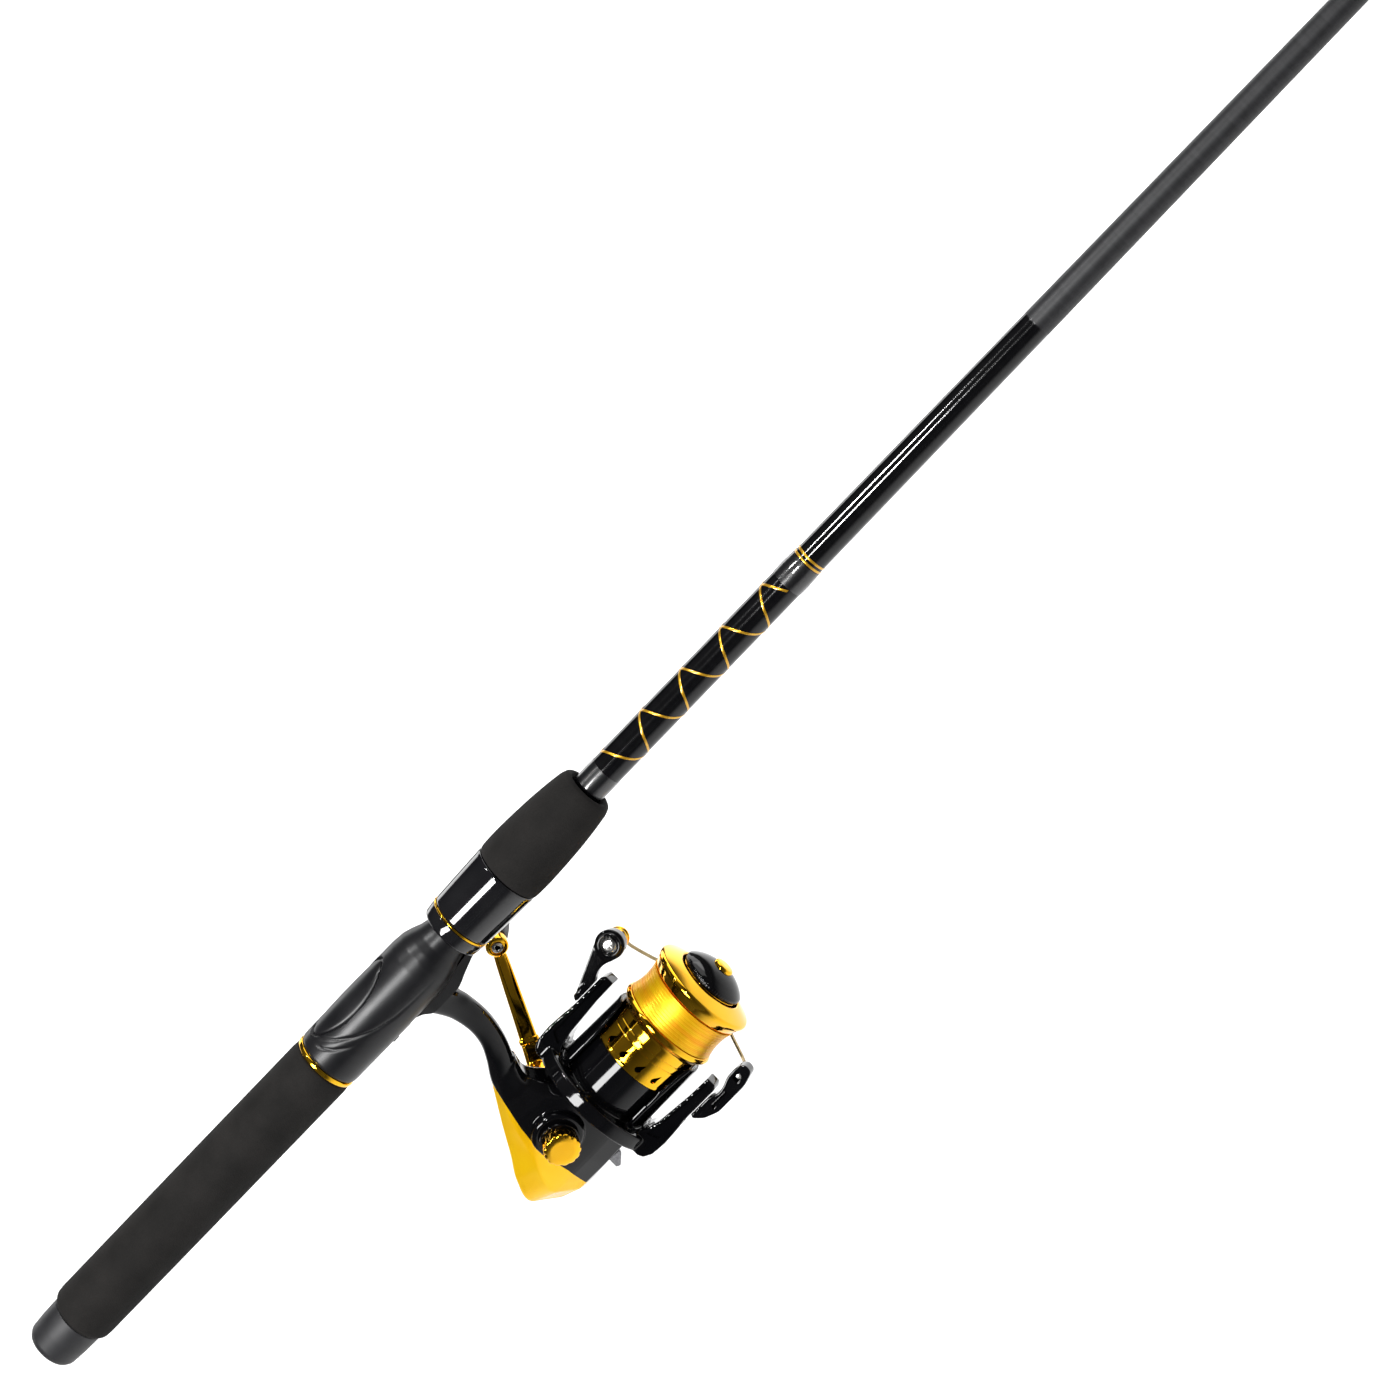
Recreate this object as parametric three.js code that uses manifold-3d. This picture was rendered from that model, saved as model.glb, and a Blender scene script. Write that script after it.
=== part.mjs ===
// Spinning rod and reel, in millimetres.
// +X runs along the rod from butt to tip, +Z is up, and the reel hangs below the rod.
// The origin is the middle of the butt cap's flat end.
import * as THREE from 'three';
import { mergeVertices } from 'three/addons/utils/BufferGeometryUtils.js';
import Module from 'manifold-3d';

const wasm = await Module();
wasm.setup();

// ---------- driving dimensions ----------
const GAP = 0.3;                 // clearance between touching pieces
const ROUND = 20;                // facets round a large turned piece
const SMALL_ROUND = 12;          // facets round a small turned piece

const ROD_LENGTH = 2134;
const JOINT_X = 1070;            // end of the butt section
const JOINT_OVERLAP = 60;
const BLANK_R = 7.35;            // butt section inside the handle
const BLANK_WALL = 1.6;
const BORE_R = BLANK_R + GAP;

const CAP_END = 34;
const CAP_SHOULDER = 22;
const GRIP_START = 22.3;
const GRIP_END = 189.7;
const GRIP_R = 14.9;
const RING_END = 192.4;
const SEAT_START = 192.7;
const SEAT_SHOULDER = 262;
const SEAT_R = 14.9;
const BARREL_R = 10.4;
const BARREL_END = 326;
const HOOD_START = 272.5;
const HOOD_END = 278.9;
const SLEEVE_START = 280.5;
const SLEEVE_END = 309.8;
const FOREGRIP_END = 362;
const FOREGRIP_R = 16.1;
const FOOT_BACK = 217;
const FOOT_FRONT = 285;
const STEM_X = 246;

const AXIS_Z = -110.8;           // spool, rotor and main shaft line
const CRANK_X = 227;
const CRANK_Z = -102;
const CRANK_OFFSET = CRANK_Z - AXIS_Z;
const CRANK_END = [259.8, 51.5, -49.5];
const BODY_FRONT = 244;
const BODY_WALL = 1.8;
const ROTOR_BACK = 244.8;
const CUP_R = 19.6;
const CUP_FRONT = 275;
const ARM_TILT = 57.5;           // degrees from +Y to the line through the rotor arms
const PIVOT_X = 276.7;
const ARM_INNER = 29.4;
const ARM_OUTER = 35.2;
const ARM_TIP = 290.8;
const SKIRT_BACK = 271.3;
const SKIRT_R = 21.1;
const SHOULDER_R = 22.3;         // inside the rotor's walls either side of the spool
const SHOULDER_FRONT = 289.2;
const CLIP_TURN = 298;           // degrees from the rotor's arms to the line clip
const LIP_R = 25.4;
const LIP_FRONT = 318.2;
const SPOOL_FRONT = 321.9;
const SPOOL_MOUTH_R = 17.2;
const ARBOR_R = 17;
const KNOB_R = 15.8;             // rim of the drag knob
const KNOB_TIP = 332;
const SHAFT_R = 1.5;
const SHAFT_BORE_R = 1.56;
const WIRE_R = 0.9;
const WIRE_X = 299;
const ROLLER_U = 42.6;

const PINION_TEETH = 9;
const DRIVE_TEETH = 37;
const TOOTH_MODULE = 0.6;
const PINION_PITCH_R = PINION_TEETH * TOOTH_MODULE / 2;
const MESH_X = PINION_PITCH_R * DRIVE_TEETH / PINION_TEETH;
const DRIVE_FACE_Y = -4.0;
const CROSS_PINION_TEETH = 12;
const CROSS_GEAR_TEETH = 23;
const CROSS_MODULE = 0.9;
const CROSS_X = 214;
const CROSS_Y = 4.6;

const GUIDES = [
  { x: 900, drop: 33, ring: 14.5, foot: 34 },
  { x: 1225, drop: 25, ring: 11, foot: 28 },
  { x: 1505, drop: 18, ring: 8.5, foot: 24 },
  { x: 1740, drop: 13.5, ring: 6.8, foot: 20 },
  { x: 1935, drop: 11, ring: 5.8, foot: 17 },
];

// ---------- materials ----------
const finish = (color, roughness, metalness) =>
  new THREE.MeshStandardMaterial({ color, roughness, metalness });
const FOAM = finish(0x1d1c1b, 0.95, 0);
const SATIN_BLACK = finish(0x2b2b2c, 0.45, 0);
const GLOSS_BLACK = finish(0x0b0b0c, 0.12, 0);
const MATTE_BLANK = finish(0x2a2a2c, 0.5, 0);
const GOLD = finish(0xf2a516, 0.18, 1);
const LINE = finish(0xf7b322, 0.5, 0);
const STEEL = finish(0xb9bcc0, 0.25, 1);
const BRASS = finish(0xc9a14a, 0.35, 1);
const NYLON = finish(0xe4e0d4, 0.5, 0);
const FELT = finish(0x8b8578, 0.9, 0);
const RUBBER = finish(0x232325, 0.7, 0);

// ---------- geometry helpers ----------
const rad = (degrees) => THREE.MathUtils.degToRad(degrees);

function signedVolume(position, index) {
  const a = new THREE.Vector3();
  const b = new THREE.Vector3();
  const c = new THREE.Vector3();
  let total = 0;
  for (let i = 0; i < index.length; i += 3) {
    a.fromBufferAttribute(position, index[i]);
    b.fromBufferAttribute(position, index[i + 1]);
    c.fromBufferAttribute(position, index[i + 2]);
    total += a.dot(b.cross(c)) / 6;
  }
  return total;
}

// Shared vertices merged, slivers dropped and faces turned outwards.
function closed(geometry) {
  const bare = geometry.clone();
  bare.deleteAttribute('normal');
  bare.deleteAttribute('uv');
  const merged = mergeVertices(bare, 1e-4);
  const source = Array.from(merged.index.array);
  const kept = [];
  for (let i = 0; i < source.length; i += 3) {
    const [a, b, c] = source.slice(i, i + 3);
    if (a !== b && b !== c && c !== a) kept.push(a, b, c);
  }
  if (signedVolume(merged.getAttribute('position'), kept) < 0) {
    for (let i = 0; i < kept.length; i += 3) {
      [kept[i], kept[i + 1]] = [kept[i + 1], kept[i]];
    }
  }
  merged.setIndex(kept);
  return merged;
}

function toSolid(geometry) {
  const merged = closed(geometry);
  const mesh = new wasm.Mesh({
    numProp: 3,
    vertProperties: new Float32Array(merged.getAttribute('position').array),
    triVerts: new Uint32Array(merged.index.array),
  });
  return new wasm.Manifold(mesh);
}

function toGeometry(solid) {
  const mesh = solid.getMesh();
  const geometry = new THREE.BufferGeometry();
  geometry.setAttribute('position', new THREE.BufferAttribute(new Float32Array(mesh.vertProperties), 3));
  geometry.setIndex(new THREE.BufferAttribute(new Uint32Array(mesh.triVerts), 1));
  return geometry;
}

function join(...geometries) {
  return toGeometry(geometries.map(toSolid).reduce((sum, next) => sum.add(next)));
}

function cut(geometry, ...cutters) {
  return toGeometry(cutters.map(toSolid).reduce((rest, next) => rest.subtract(next), toSolid(geometry)));
}

function common(a, b) {
  return toGeometry(toSolid(a).intersect(toSolid(b)));
}

// A profile of [along, radius] points, turned about the X axis through (0, 0, z).
function turnX(profile, z = 0, facets = ROUND) {
  const points = profile.map(([along, radius]) => new THREE.Vector2(radius, along));
  return closed(new THREE.LatheGeometry(points, facets).rotateZ(-Math.PI / 2).translate(0, 0, z));
}

// The same about the Y axis through (x, 0, z).
function turnY(profile, x, z, facets = ROUND) {
  const points = profile.map(([along, radius]) => new THREE.Vector2(radius, along));
  return closed(new THREE.LatheGeometry(points, facets).translate(x, 0, z));
}

const rod = (from, to, radius) => [[from, 0], [from, radius], [to, radius], [to, 0]];
const tube = (from, to, inner, outer) =>
  [[from, inner], [from, outer], [to, outer], [to, inner], [from, inner]];

function box(low, high) {
  const size = high.map((value, i) => value - low[i]);
  const middle = high.map((value, i) => (value + low[i]) / 2);
  return new THREE.BoxGeometry(...size).translate(...middle);
}

// An outline of [x, z] points drawn through the thickness y0..y1.
function plateY(outline, y0, y1) {
  const shape = new THREE.Shape(outline.map(([x, z]) => new THREE.Vector2(x, z)));
  const geometry = new THREE.ExtrudeGeometry(shape, { depth: y1 - y0, bevelEnabled: false, steps: 1 });
  return closed(geometry.rotateX(Math.PI / 2).translate(0, y1, 0));
}

// An outline of [y, z] points drawn through the thickness x0..x1.
function plateX(outline, x0, x1) {
  const shape = new THREE.Shape(outline.map(([y, z]) => new THREE.Vector2(y, z)));
  const geometry = new THREE.ExtrudeGeometry(shape, { depth: x1 - x0, bevelEnabled: false, steps: 1 });
  const turn = new THREE.Matrix4().set(0, 0, 1, x0, 1, 0, 0, 0, 0, 1, 0, 0, 0, 0, 0, 1);
  return closed(geometry.applyMatrix4(turn));
}

function oval(halfY, halfZ, count = 10) {
  const turnStep = (2 * Math.PI) / count;
  return Array.from({ length: count }, (_, i) =>
    new THREE.Vector2(halfY * Math.cos(i * turnStep), halfZ * Math.sin(i * turnStep)));
}

function sweep(points, section, steps) {
  const path = new THREE.CatmullRomCurve3(points.map((p) => new THREE.Vector3(...p)));
  return closed(new THREE.ExtrudeGeometry(new THREE.Shape(section), { extrudePath: path, steps }));
}

// Level rounded sections {z, x, y, a, b}: centre x and y, half-lengths a and b.
function loft(sections, sharpness = 2.8, count = 20) {
  const vertices = [];
  const triangles = [];
  for (const { z, x, y = 0, a, b } of sections) {
    for (let i = 0; i < count; i += 1) {
      const angle = (2 * Math.PI * i) / count;
      const c = Math.cos(angle);
      const s = Math.sin(angle);
      const squared = 2 / sharpness;
      vertices.push(x + a * Math.sign(c) * Math.abs(c) ** squared);
      vertices.push(y + b * Math.sign(s) * Math.abs(s) ** squared);
      vertices.push(z);
    }
  }
  const rows = sections.length;
  for (let row = 0; row < rows - 1; row += 1) {
    for (let i = 0; i < count; i += 1) {
      const next = (i + 1) % count;
      const low = row * count;
      const high = low + count;
      triangles.push(low + i, low + next, high + next, low + i, high + next, high + i);
    }
  }
  for (let i = 1; i < count - 1; i += 1) {
    triangles.push(0, i + 1, i);
    const top = (rows - 1) * count;
    triangles.push(top, top + i, top + i + 1);
  }
  const geometry = new THREE.BufferGeometry();
  geometry.setAttribute('position', new THREE.Float32BufferAttribute(vertices, 3));
  geometry.setIndex(triangles);
  return closed(geometry);
}

const assembly = new THREE.Group();

function place(name, geometry, material) {
  const mesh = new THREE.Mesh(closed(geometry), material);
  mesh.name = name;
  assembly.add(mesh);
}

// ---------- rod ----------
function blankRadius(x) {
  const stations = [[0, BLANK_R], [490, BLANK_R], [500, 7], [633, 6.5], [830, 5.65], [JOINT_X, 4.7],
    [1500, 3.3], [1900, 2], [ROD_LENGTH, 1.3]];
  const next = stations.findIndex(([at]) => at >= x);
  if (next <= 0) return stations[0][1];
  const [x0, r0] = stations[next - 1];
  const [x1, r1] = stations[next];
  return r0 + ((r1 - r0) * (x - x0)) / (x1 - x0);
}

function blankSection(xs, wall) {
  const outside = xs.map((x) => [x, blankRadius(x)]);
  const inside = xs.map((x) => [x, Math.max(blankRadius(x) - wall, 0.35)]).reverse();
  return turnX([...outside, ...inside, outside[0]], 0, 20);
}

function makeBlank() {
  place('blank_butt_section', blankSection([8, 490, 500, 633, 830, JOINT_X], BLANK_WALL), GLOSS_BLACK);
  const start = JOINT_X - JOINT_OVERLAP;
  const sleeveEnd = JOINT_X + 8;
  const outside = [[start, 6.9], [sleeveEnd, 6.3], [sleeveEnd + 14, blankRadius(sleeveEnd + 14)]];
  const tip = [1500, 1900, ROD_LENGTH - 6];
  for (const x of tip) outside.push([x, blankRadius(x)]);
  const inside = [[ROD_LENGTH - 6, 0.5], [1900, 0.9], [1500, 1.9], [sleeveEnd + 14, 3.4],
    [JOINT_X + 2, 5.3], [start, 5.5]];
  place('blank_tip_section', turnX([...outside, ...inside, outside[0]], 0, 20), MATTE_BLANK);
}

function makeRearHandle() {
  place('butt_cap', turnX([[0, 0], [0, 8.5], [1.2, 10.6], [4, 12.1], [12, 12.7], [CAP_SHOULDER, 12.9],
    [CAP_SHOULDER, 11.6], [CAP_END, 11.6], [CAP_END, BORE_R], [7, BORE_R], [7, 0]]), RUBBER);
  place('rear_grip', turnX([[GRIP_START, 13.2], [GRIP_START + 2.5, 14.7], [GRIP_START + 6, GRIP_R],
    [GRIP_END - 3, GRIP_R], [GRIP_END, 14.6], [GRIP_END, BORE_R], [CAP_END + GAP, BORE_R],
    [CAP_END + GAP, 12], [GRIP_START, 12], [GRIP_START, 13.2]]), FOAM);
  place('rear_trim_ring', turnX(tube(GRIP_END + GAP, RING_END, BORE_R, 14.7)), GOLD);
}

function makeReelSeat() {
  const outer = turnX([[SEAT_START, BORE_R], [SEAT_START, 14.4], [SEAT_START + 1.5, SEAT_R],
    [SEAT_SHOULDER - 6, SEAT_R], [SEAT_SHOULDER, 13.4], [SEAT_SHOULDER + 6, BARREL_R + 0.4],
    [SEAT_SHOULDER + 8, BARREL_R], [BARREL_END, BARREL_R], [BARREL_END, BORE_R], [SEAT_START, BORE_R]]);
  const rearPocket = box([FOOT_BACK - 1, -6.6, -13.1], [SEAT_SHOULDER + 9, 6.6, -9.7]);
  const stemBay = box([STEM_X - 16, -9.4, -20], [SEAT_SHOULDER + 9, 9.4, -9.7]);
  const padBed = common(
    turnX(tube(SEAT_START + 5, 242, SEAT_R - 1.1, 20)),
    box([SEAT_START, -13, 5], [245, 13, 20]),
  );
  place('reel_seat', cut(outer, rearPocket, stemBay, padBed), SATIN_BLACK);
  const padOutline = oval(21, 9.6, 28).map((p) => [p.x + 219.5, p.y]);
  const padShape = new THREE.Shape(padOutline.map(([x, y]) => new THREE.Vector2(x, y)));
  const padColumn = new THREE.ExtrudeGeometry(padShape, { depth: 14, bevelEnabled: false })
    .translate(0, 0, 5.5);
  const padFloor = SEAT_R - 1.1 + GAP;
  const padCrown = turnX([[197, SEAT_R - 0.6], [206, SEAT_R + 0.3], [219, SEAT_R + 0.8],
    [232, SEAT_R + 0.5], [241.7, SEAT_R - 0.6], [241.7, padFloor], [197, padFloor], [197, SEAT_R - 0.6]]);
  place('thumb_pad', common(padCrown, padColumn), RUBBER);
}

function makeSlidingHood() {
  const footSlot = box([HOOD_START - 1, -6.4, -13.1], [HOOD_START + 3, 6.4, -9]);
  place('sliding_hood', cut(turnX([[HOOD_START, BARREL_R + GAP], [HOOD_START, 13.4], [HOOD_START + 1.5, 14.1],
    [HOOD_END, 14.6], [HOOD_END, 14.1], [HOOD_START + 1.5, 13.7],
    [HOOD_START + 1.5, BARREL_R + GAP], [HOOD_START, BARREL_R + GAP]]), footSlot), SATIN_BLACK);
  place('hood_trim_ring', turnX(tube(HOOD_END + GAP, SLEEVE_START - GAP, 13.95, 14.75)), GOLD);
}

function makeLockSleeve() {
  place('lock_sleeve', turnX([[SLEEVE_START, 13.9], [SLEEVE_START, 14.7], [SLEEVE_END, 15.8],
    [SLEEVE_END, BARREL_R + GAP], [FOOT_FRONT + 2, BARREL_R + GAP], [FOOT_FRONT + 2, 13.9],
    [SLEEVE_START, 13.9]]), SATIN_BLACK);
  const start = SLEEVE_END + GAP;
  place('foregrip', turnX([[start, BARREL_R + GAP], [start, 15.8], [320, FOREGRIP_R], [331, 15.7],
    [341, 15.1], [350, 14.2], [358, 13.1], [361, 12], [FOREGRIP_END, 10.2], [360.6, BORE_R + 0.6],
    [358, BORE_R], [BARREL_END + 1, BORE_R], [BARREL_END + 1, BARREL_R + GAP],
    [start, BARREL_R + GAP]]), FOAM);
}

// A line guide: a round frame below the blank on one leg in front and two behind.
function makeGuide({ x, drop, ring, foot }, index) {
  const wire = Math.max(0.8, ring * 0.085);
  const seatZ = (at) => -(blankRadius(at) + wire * 0.75 + GAP + 0.1);
  const strap = oval(wire * 1.6, wire * 0.75, 6);
  const leg = oval(wire, wire, 4);
  const loop = new THREE.TorusGeometry(ring - wire, wire * 1.15, 5, 16)
    .rotateY(Math.PI / 2).translate(x, 0, -drop);
  const back = sweep([[x - foot, 0, seatZ(x - foot)], [x - foot * 0.75, 0, seatZ(x - foot)],
    [x - foot * 0.45, 0, seatZ(x) - wire]], strap, 2);
  const front = sweep([[x + foot, 0, seatZ(x)], [x + foot * 0.72, 0, seatZ(x)],
    [x + foot * 0.45, 0, seatZ(x) - wire * 2], [x + wire * 0.4, 0, -drop + ring - wire]], strap, 4);
  const side = (sign) => sweep([[x - foot * 0.5, sign * wire * 0.4, seatZ(x) - wire * 0.8],
    [x - foot * 0.22, sign * ring * 0.55, (seatZ(x) - drop) / 2],
    [x, sign * (ring - wire), -drop]], leg, 2);
  place(`guide_${index + 1}`, join(loop, back, front, side(1), side(-1)), STEEL);
}

function makeTipTop() {
  const sleeve = turnX(tube(ROD_LENGTH - 14, ROD_LENGTH + 2, 1.75, 2.5), 0, 12);
  const ring = new THREE.TorusGeometry(4.6, 0.95, 5, 14).rotateY(Math.PI / 2 - 0.3)
    .translate(ROD_LENGTH + 4, 0, -7.4);
  const side = (sign) => sweep([[ROD_LENGTH - 9, sign * 1, -2.4], [ROD_LENGTH - 3, sign * 3.4, -4.4],
    [ROD_LENGTH + 3.4, sign * 4.6, -7]], oval(0.7, 0.7, 4), 2);
  const neck = sweep([[ROD_LENGTH, 0, -1.9], [ROD_LENGTH + 4.8, 0, -3.1]], oval(1.1, 0.8, 4), 1);
  place('tip_top', join(sleeve, ring, side(1), side(-1), neck), STEEL);
}

// ---------- reel housing ----------
const HOUSING = [
  { z: -138, x: 213, a: 9, b: 4 },
  { z: -134, x: 223.5, a: 26.5, b: 9 },
  { z: -123.5, x: 220.9, a: 33.1, b: 12.8 },
  { z: -110, x: 224.5, a: 31.5, b: 14 },
  { z: -99, x: 227.7, a: 26.3, b: 13.6 },
  { z: -87, x: 226.5, a: 16.6, b: 11.6 },
  { z: -76, x: 228.2, a: 10.1, b: 8.6 },
  { z: -66, x: 233.6, a: 7.9, b: 6.4 },
];
const STEM = [
  { z: -70, x: 231.4, a: 8.2, b: 6.6 },
  { z: -57, x: 239.4, a: 6.6, b: 5.4 },
  { z: -49, x: 243.4, a: 6, b: 5 },
  { z: -40, x: 246, a: 5.9, b: 4.8 },
  { z: -29, x: 246.6, a: 6.4, b: 5 },
  { z: -21, x: 245.6, a: 7.6, b: 6 },
  { z: -16.5, x: 247, a: 12, b: 7.6 },
];
// Side outline of everything in front of the parting line with the tail shell.
const FRONT_SIDE = [[227, -62], [223, -76], [219, -88], [216.6, -98], [215.2, -108], [215, -120],
  [213, -132], [211.8, -142], [250, -142], [250, -62]];

function housingShell() {
  const outer = loft(HOUSING);
  const inner = loft(HOUSING.slice(1, -1).map(({ z, x, a, b }, i) => ({
    z: i === 0 ? z + 0.6 : z,
    x: x - 0.2,
    a: a - BODY_WALL - 0.6,
    b: b - BODY_WALL,
  })));
  const room = box([150, -40, -150], [BODY_FRONT, 40, -50]);
  return { outer: common(outer, room), inner: common(inner, box([150, -40, -150], [242.6, 40, -50])) };
}

function makeHousing() {
  const { outer, inner } = housingShell();
  const front = plateY(FRONT_SIDE, -30, 30);
  const rear = plateY(FRONT_SIDE.map(([x, z]) => [x === 250 ? 150 : x - GAP, z]), -30, 30);
  const left = box([150, -40, -150], [260, 4, -10]);
  const right = box([150, 4 + GAP, -150], [260, 40, -67]);
  const crankBore = turnY(rod(-30, 30, 4.3), CRANK_X, CRANK_Z, 20);
  const bearingSeat = (from, to) => turnY(rod(from, to, 6.3), CRANK_X, CRANK_Z, 20);
  const boss = (from, to) => turnY(rod(from, to, 10.4), CRANK_X, CRANK_Z, 24);
  const neck = turnX(tube(242.7, 252.5, 7.3, 11.6), AXIS_Z, 24);
  const neckBore = turnX(rod(240, 256, 7.3), AXIS_Z, 24);
  const leverSlot = box([224.6, -4.4, -142], [232.4, 4.4, -130]);
  const core = common(common(outer, front), left);
  const shell = cut(core, inner);
  const footPlate = footSolid();
  const stem = loft([...STEM].sort((p, q) => p.z - q.z));
  const stemClear = loft(HOUSING.slice(4, -1).map((s) => ({ ...s, a: s.a - 2.4, b: s.b - 1.8 })));
  const body = join(shell, cut(stem, stemClear), footPlate, boss(-17, -11), neck);
  const gearReach = Math.hypot(MESH_X, CRANK_OFFSET) + 0.9;
  const gearRoom = turnY(rod(-9.2, -2.2, gearReach + GAP), CRANK_X, CRANK_Z, 24);
  const drilled = cut(body, crankBore, bearingSeat(-16.2, -8), neckBore, leverSlot, gearRoom);
  place('reel_body', largest(drilled), GLOSS_BLACK);

  const cover = cut(common(common(outer, front), right), inner);
  const coverSolid = join(cover, boss(11, 17));
  const stemRoom = loft([...STEM].sort((p, q) => p.z - q.z)
    .map((s) => ({ ...s, a: s.a + GAP, b: s.b + GAP })));
  const neckRoom = turnX(rod(240, 256, 11.9), AXIS_Z, 24);
  const coverCut = cut(coverSolid, crankBore, bearingSeat(8, 16.2), neckRoom, stemRoom, leverSlot);
  place('side_cover', largest(coverCut), GLOSS_BLACK);

  place('rear_shell', largest(cut(common(outer, rear), inner, stemRoom)), GOLD);
}

// Boolean cuts can leave a loose crumb, so only the biggest piece is kept.
function largest(geometry) {
  const pieces = toSolid(geometry).decompose();
  pieces.sort((p, q) => q.volume() - p.volume());
  return toGeometry(pieces[0]);
}

// The foot: a long plate hollowed to lie on the barrel, thin at both ends.
function footSolid() {
  const side = [[FOOT_BACK, -10], [FOOT_BACK, -12.3], [FOOT_BACK + 14, -12.7], [STEM_X - 9, -15.4],
    [STEM_X - 6, -17.5], [STEM_X + 11, -17.5], [STEM_X + 18, -15], [FOOT_FRONT - 12, -12.5],
    [FOOT_FRONT, -12.1], [FOOT_FRONT, -10]];
  const plan = [[FOOT_BACK, 4.4], [FOOT_BACK + 3, 5.9], [STEM_X - 10, 6], [STEM_X - 4, 8.2],
    [STEM_X + 14, 8.2], [FOOT_FRONT - 14, 5.7], [FOOT_FRONT - 3, 5.6], [FOOT_FRONT, 4.4]];
  const outline = [...plan, ...plan.map(([x, y]) => [x, -y]).reverse()];
  const shape = new THREE.Shape(outline.map(([x, y]) => new THREE.Vector2(x, y)));
  const column = new THREE.ExtrudeGeometry(shape, { depth: 14, bevelEnabled: false }).translate(0, 0, -22);
  const saddle = turnX(rod(FOOT_BACK - 5, FOOT_FRONT + 5, BARREL_R + GAP), 0, ROUND);
  return cut(common(column, plateY(side, -12, 12)), saddle);
}

function makeBearings() {
  for (const [name, from] of [['crank_bearing_left', -15.9], ['crank_bearing_right', 11.9]]) {
    place(name, turnY(tube(from, from + 4, 3.6, 6), CRANK_X, CRANK_Z, 16), STEEL);
  }
  place('pinion_bearing', turnX(tube(244, 248, 3.45, 7), AXIS_Z, 16), STEEL);
  place('roller_clutch', turnX(tube(248.4, 252.3, 3.45, 7), AXIS_Z, 16), STEEL);
}

function makeAntiReverseLever() {
  const pin = turnX(rod(226, 231, 1.2), -132.4, 12);
  const stalk = box([227.4, -1.1, -139], [229.8, 1.1, -132]);
  const tab = plateY([[224.8, -138.6], [224.2, -143.6], [226.4, -144.4], [232, -139.4],
    [231.6, -138.2]], -3.2, 3.2);
  place('anti_reverse_lever', join(pin, stalk, tab), STEEL);
}

// ---------- gears ----------
function spurOutline(teeth, module, thickness = 0.4) {
  const pitch = (teeth * module) / 2;
  const points = [];
  for (let i = 0; i < teeth; i += 1) {
    const middle = (2 * Math.PI * i) / teeth;
    const half = (Math.PI / teeth) * thickness;
    const corners = [[-1.35, pitch - module * 1.15], [-0.5, pitch + module * 0.85],
      [0.5, pitch + module * 0.85], [1.35, pitch - module * 1.15]];
    for (const [side, radius] of corners) {
      points.push([radius * Math.cos(middle + side * half), radius * Math.sin(middle + side * half)]);
    }
  }
  return points;
}

function spurY(teeth, module, x, z, y0, y1, phase) {
  const outline = spurOutline(teeth, module).map(([p, q]) => {
    const c = Math.cos(phase);
    const s = Math.sin(phase);
    return [x + p * c - q * s, z + p * s + q * c];
  });
  return plateY(outline, y0, y1);
}

// The drive gear's skew teeth run along lines that pass CRANK_OFFSET from its axis,
// so that each lies along the pinion while the two are in mesh.
function makeDriveGear() {
  const meshRadius = Math.hypot(MESH_X, CRANK_OFFSET);
  const base = DRIVE_FACE_Y - 0.9;
  const disc = turnY([[-8.6, 0], [-8.6, 12], [-7.2, meshRadius + 0.9], [base, meshRadius + 0.9],
    [base, meshRadius - 3.4], [-6.4, meshRadius - 4], [-6.4, 0]], CRANK_X, CRANK_Z, 24);
  const shaft = turnY([[-19.4, 0], [-19.4, 3.4], [-11.2, 3.4], [-11.2, 3.9], [11.2, 3.9], [11.2, 3.4],
    [24.5, 3.4], [24.5, 0]], CRANK_X, CRANK_Z, 16);
  let gear = toSolid(disc).add(toSolid(shaft));
  const toothLength = 3.2;
  const halfRoot = 0.4;
  const halfTip = 0.22;
  const lift = 2.2;
  const profile = [[-halfRoot, base - 0.2], [halfRoot, base - 0.2], [halfTip, base + lift],
    [-halfTip, base + lift]];
  for (let i = 0; i < DRIVE_TEETH; i += 1) {
    const shape = new THREE.Shape(profile.map(([p, q]) => new THREE.Vector2(p, q)));
    const tooth = new THREE.ExtrudeGeometry(shape, { depth: toothLength, bevelEnabled: false });
    // section across Z, height along Y, length along X
    const lay = new THREE.Matrix4().set(0, 0, 1, MESH_X - toothLength * 0.72,
      0, 1, 0, 0, 1, 0, 0, -CRANK_OFFSET, 0, 0, 0, 1);
    tooth.applyMatrix4(lay);
    tooth.rotateY((2 * Math.PI * (i + 0.5)) / DRIVE_TEETH);
    tooth.translate(CRANK_X, 0, CRANK_Z);
    gear = gear.add(toSolid(tooth));
  }
  const crossPinion = spurY(CROSS_PINION_TEETH, CROSS_MODULE, CRANK_X, CRANK_Z, CROSS_Y, CROSS_Y + 3,
    crossAngle());
  place('drive_gear', toGeometry(gear.add(toSolid(crossPinion))), BRASS);
}

const crossDistance = () => ((CROSS_PINION_TEETH + CROSS_GEAR_TEETH) * CROSS_MODULE) / 2;
const crossAngle = () => Math.PI + Math.acos((CRANK_X - CROSS_X) / crossDistance());
const crossZ = () => CRANK_Z + crossDistance() * Math.sin(crossAngle());

function makeOscillationGear() {
  const toothAhead = crossAngle() - Math.PI + Math.PI / CROSS_GEAR_TEETH;
  const wheel = spurY(CROSS_GEAR_TEETH, CROSS_MODULE, CROSS_X, crossZ(), CROSS_Y, CROSS_Y + 2.4,
    toothAhead);
  const pin = turnY(rod(3.4, 5.4, 1.3), CROSS_X - 6.4, crossZ(), 10);
  const axle = turnY(rod(5, 9.6, 1.6), CROSS_X, crossZ(), 12);
  place('oscillation_gear', join(wheel, pin, axle), NYLON);
}

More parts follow.
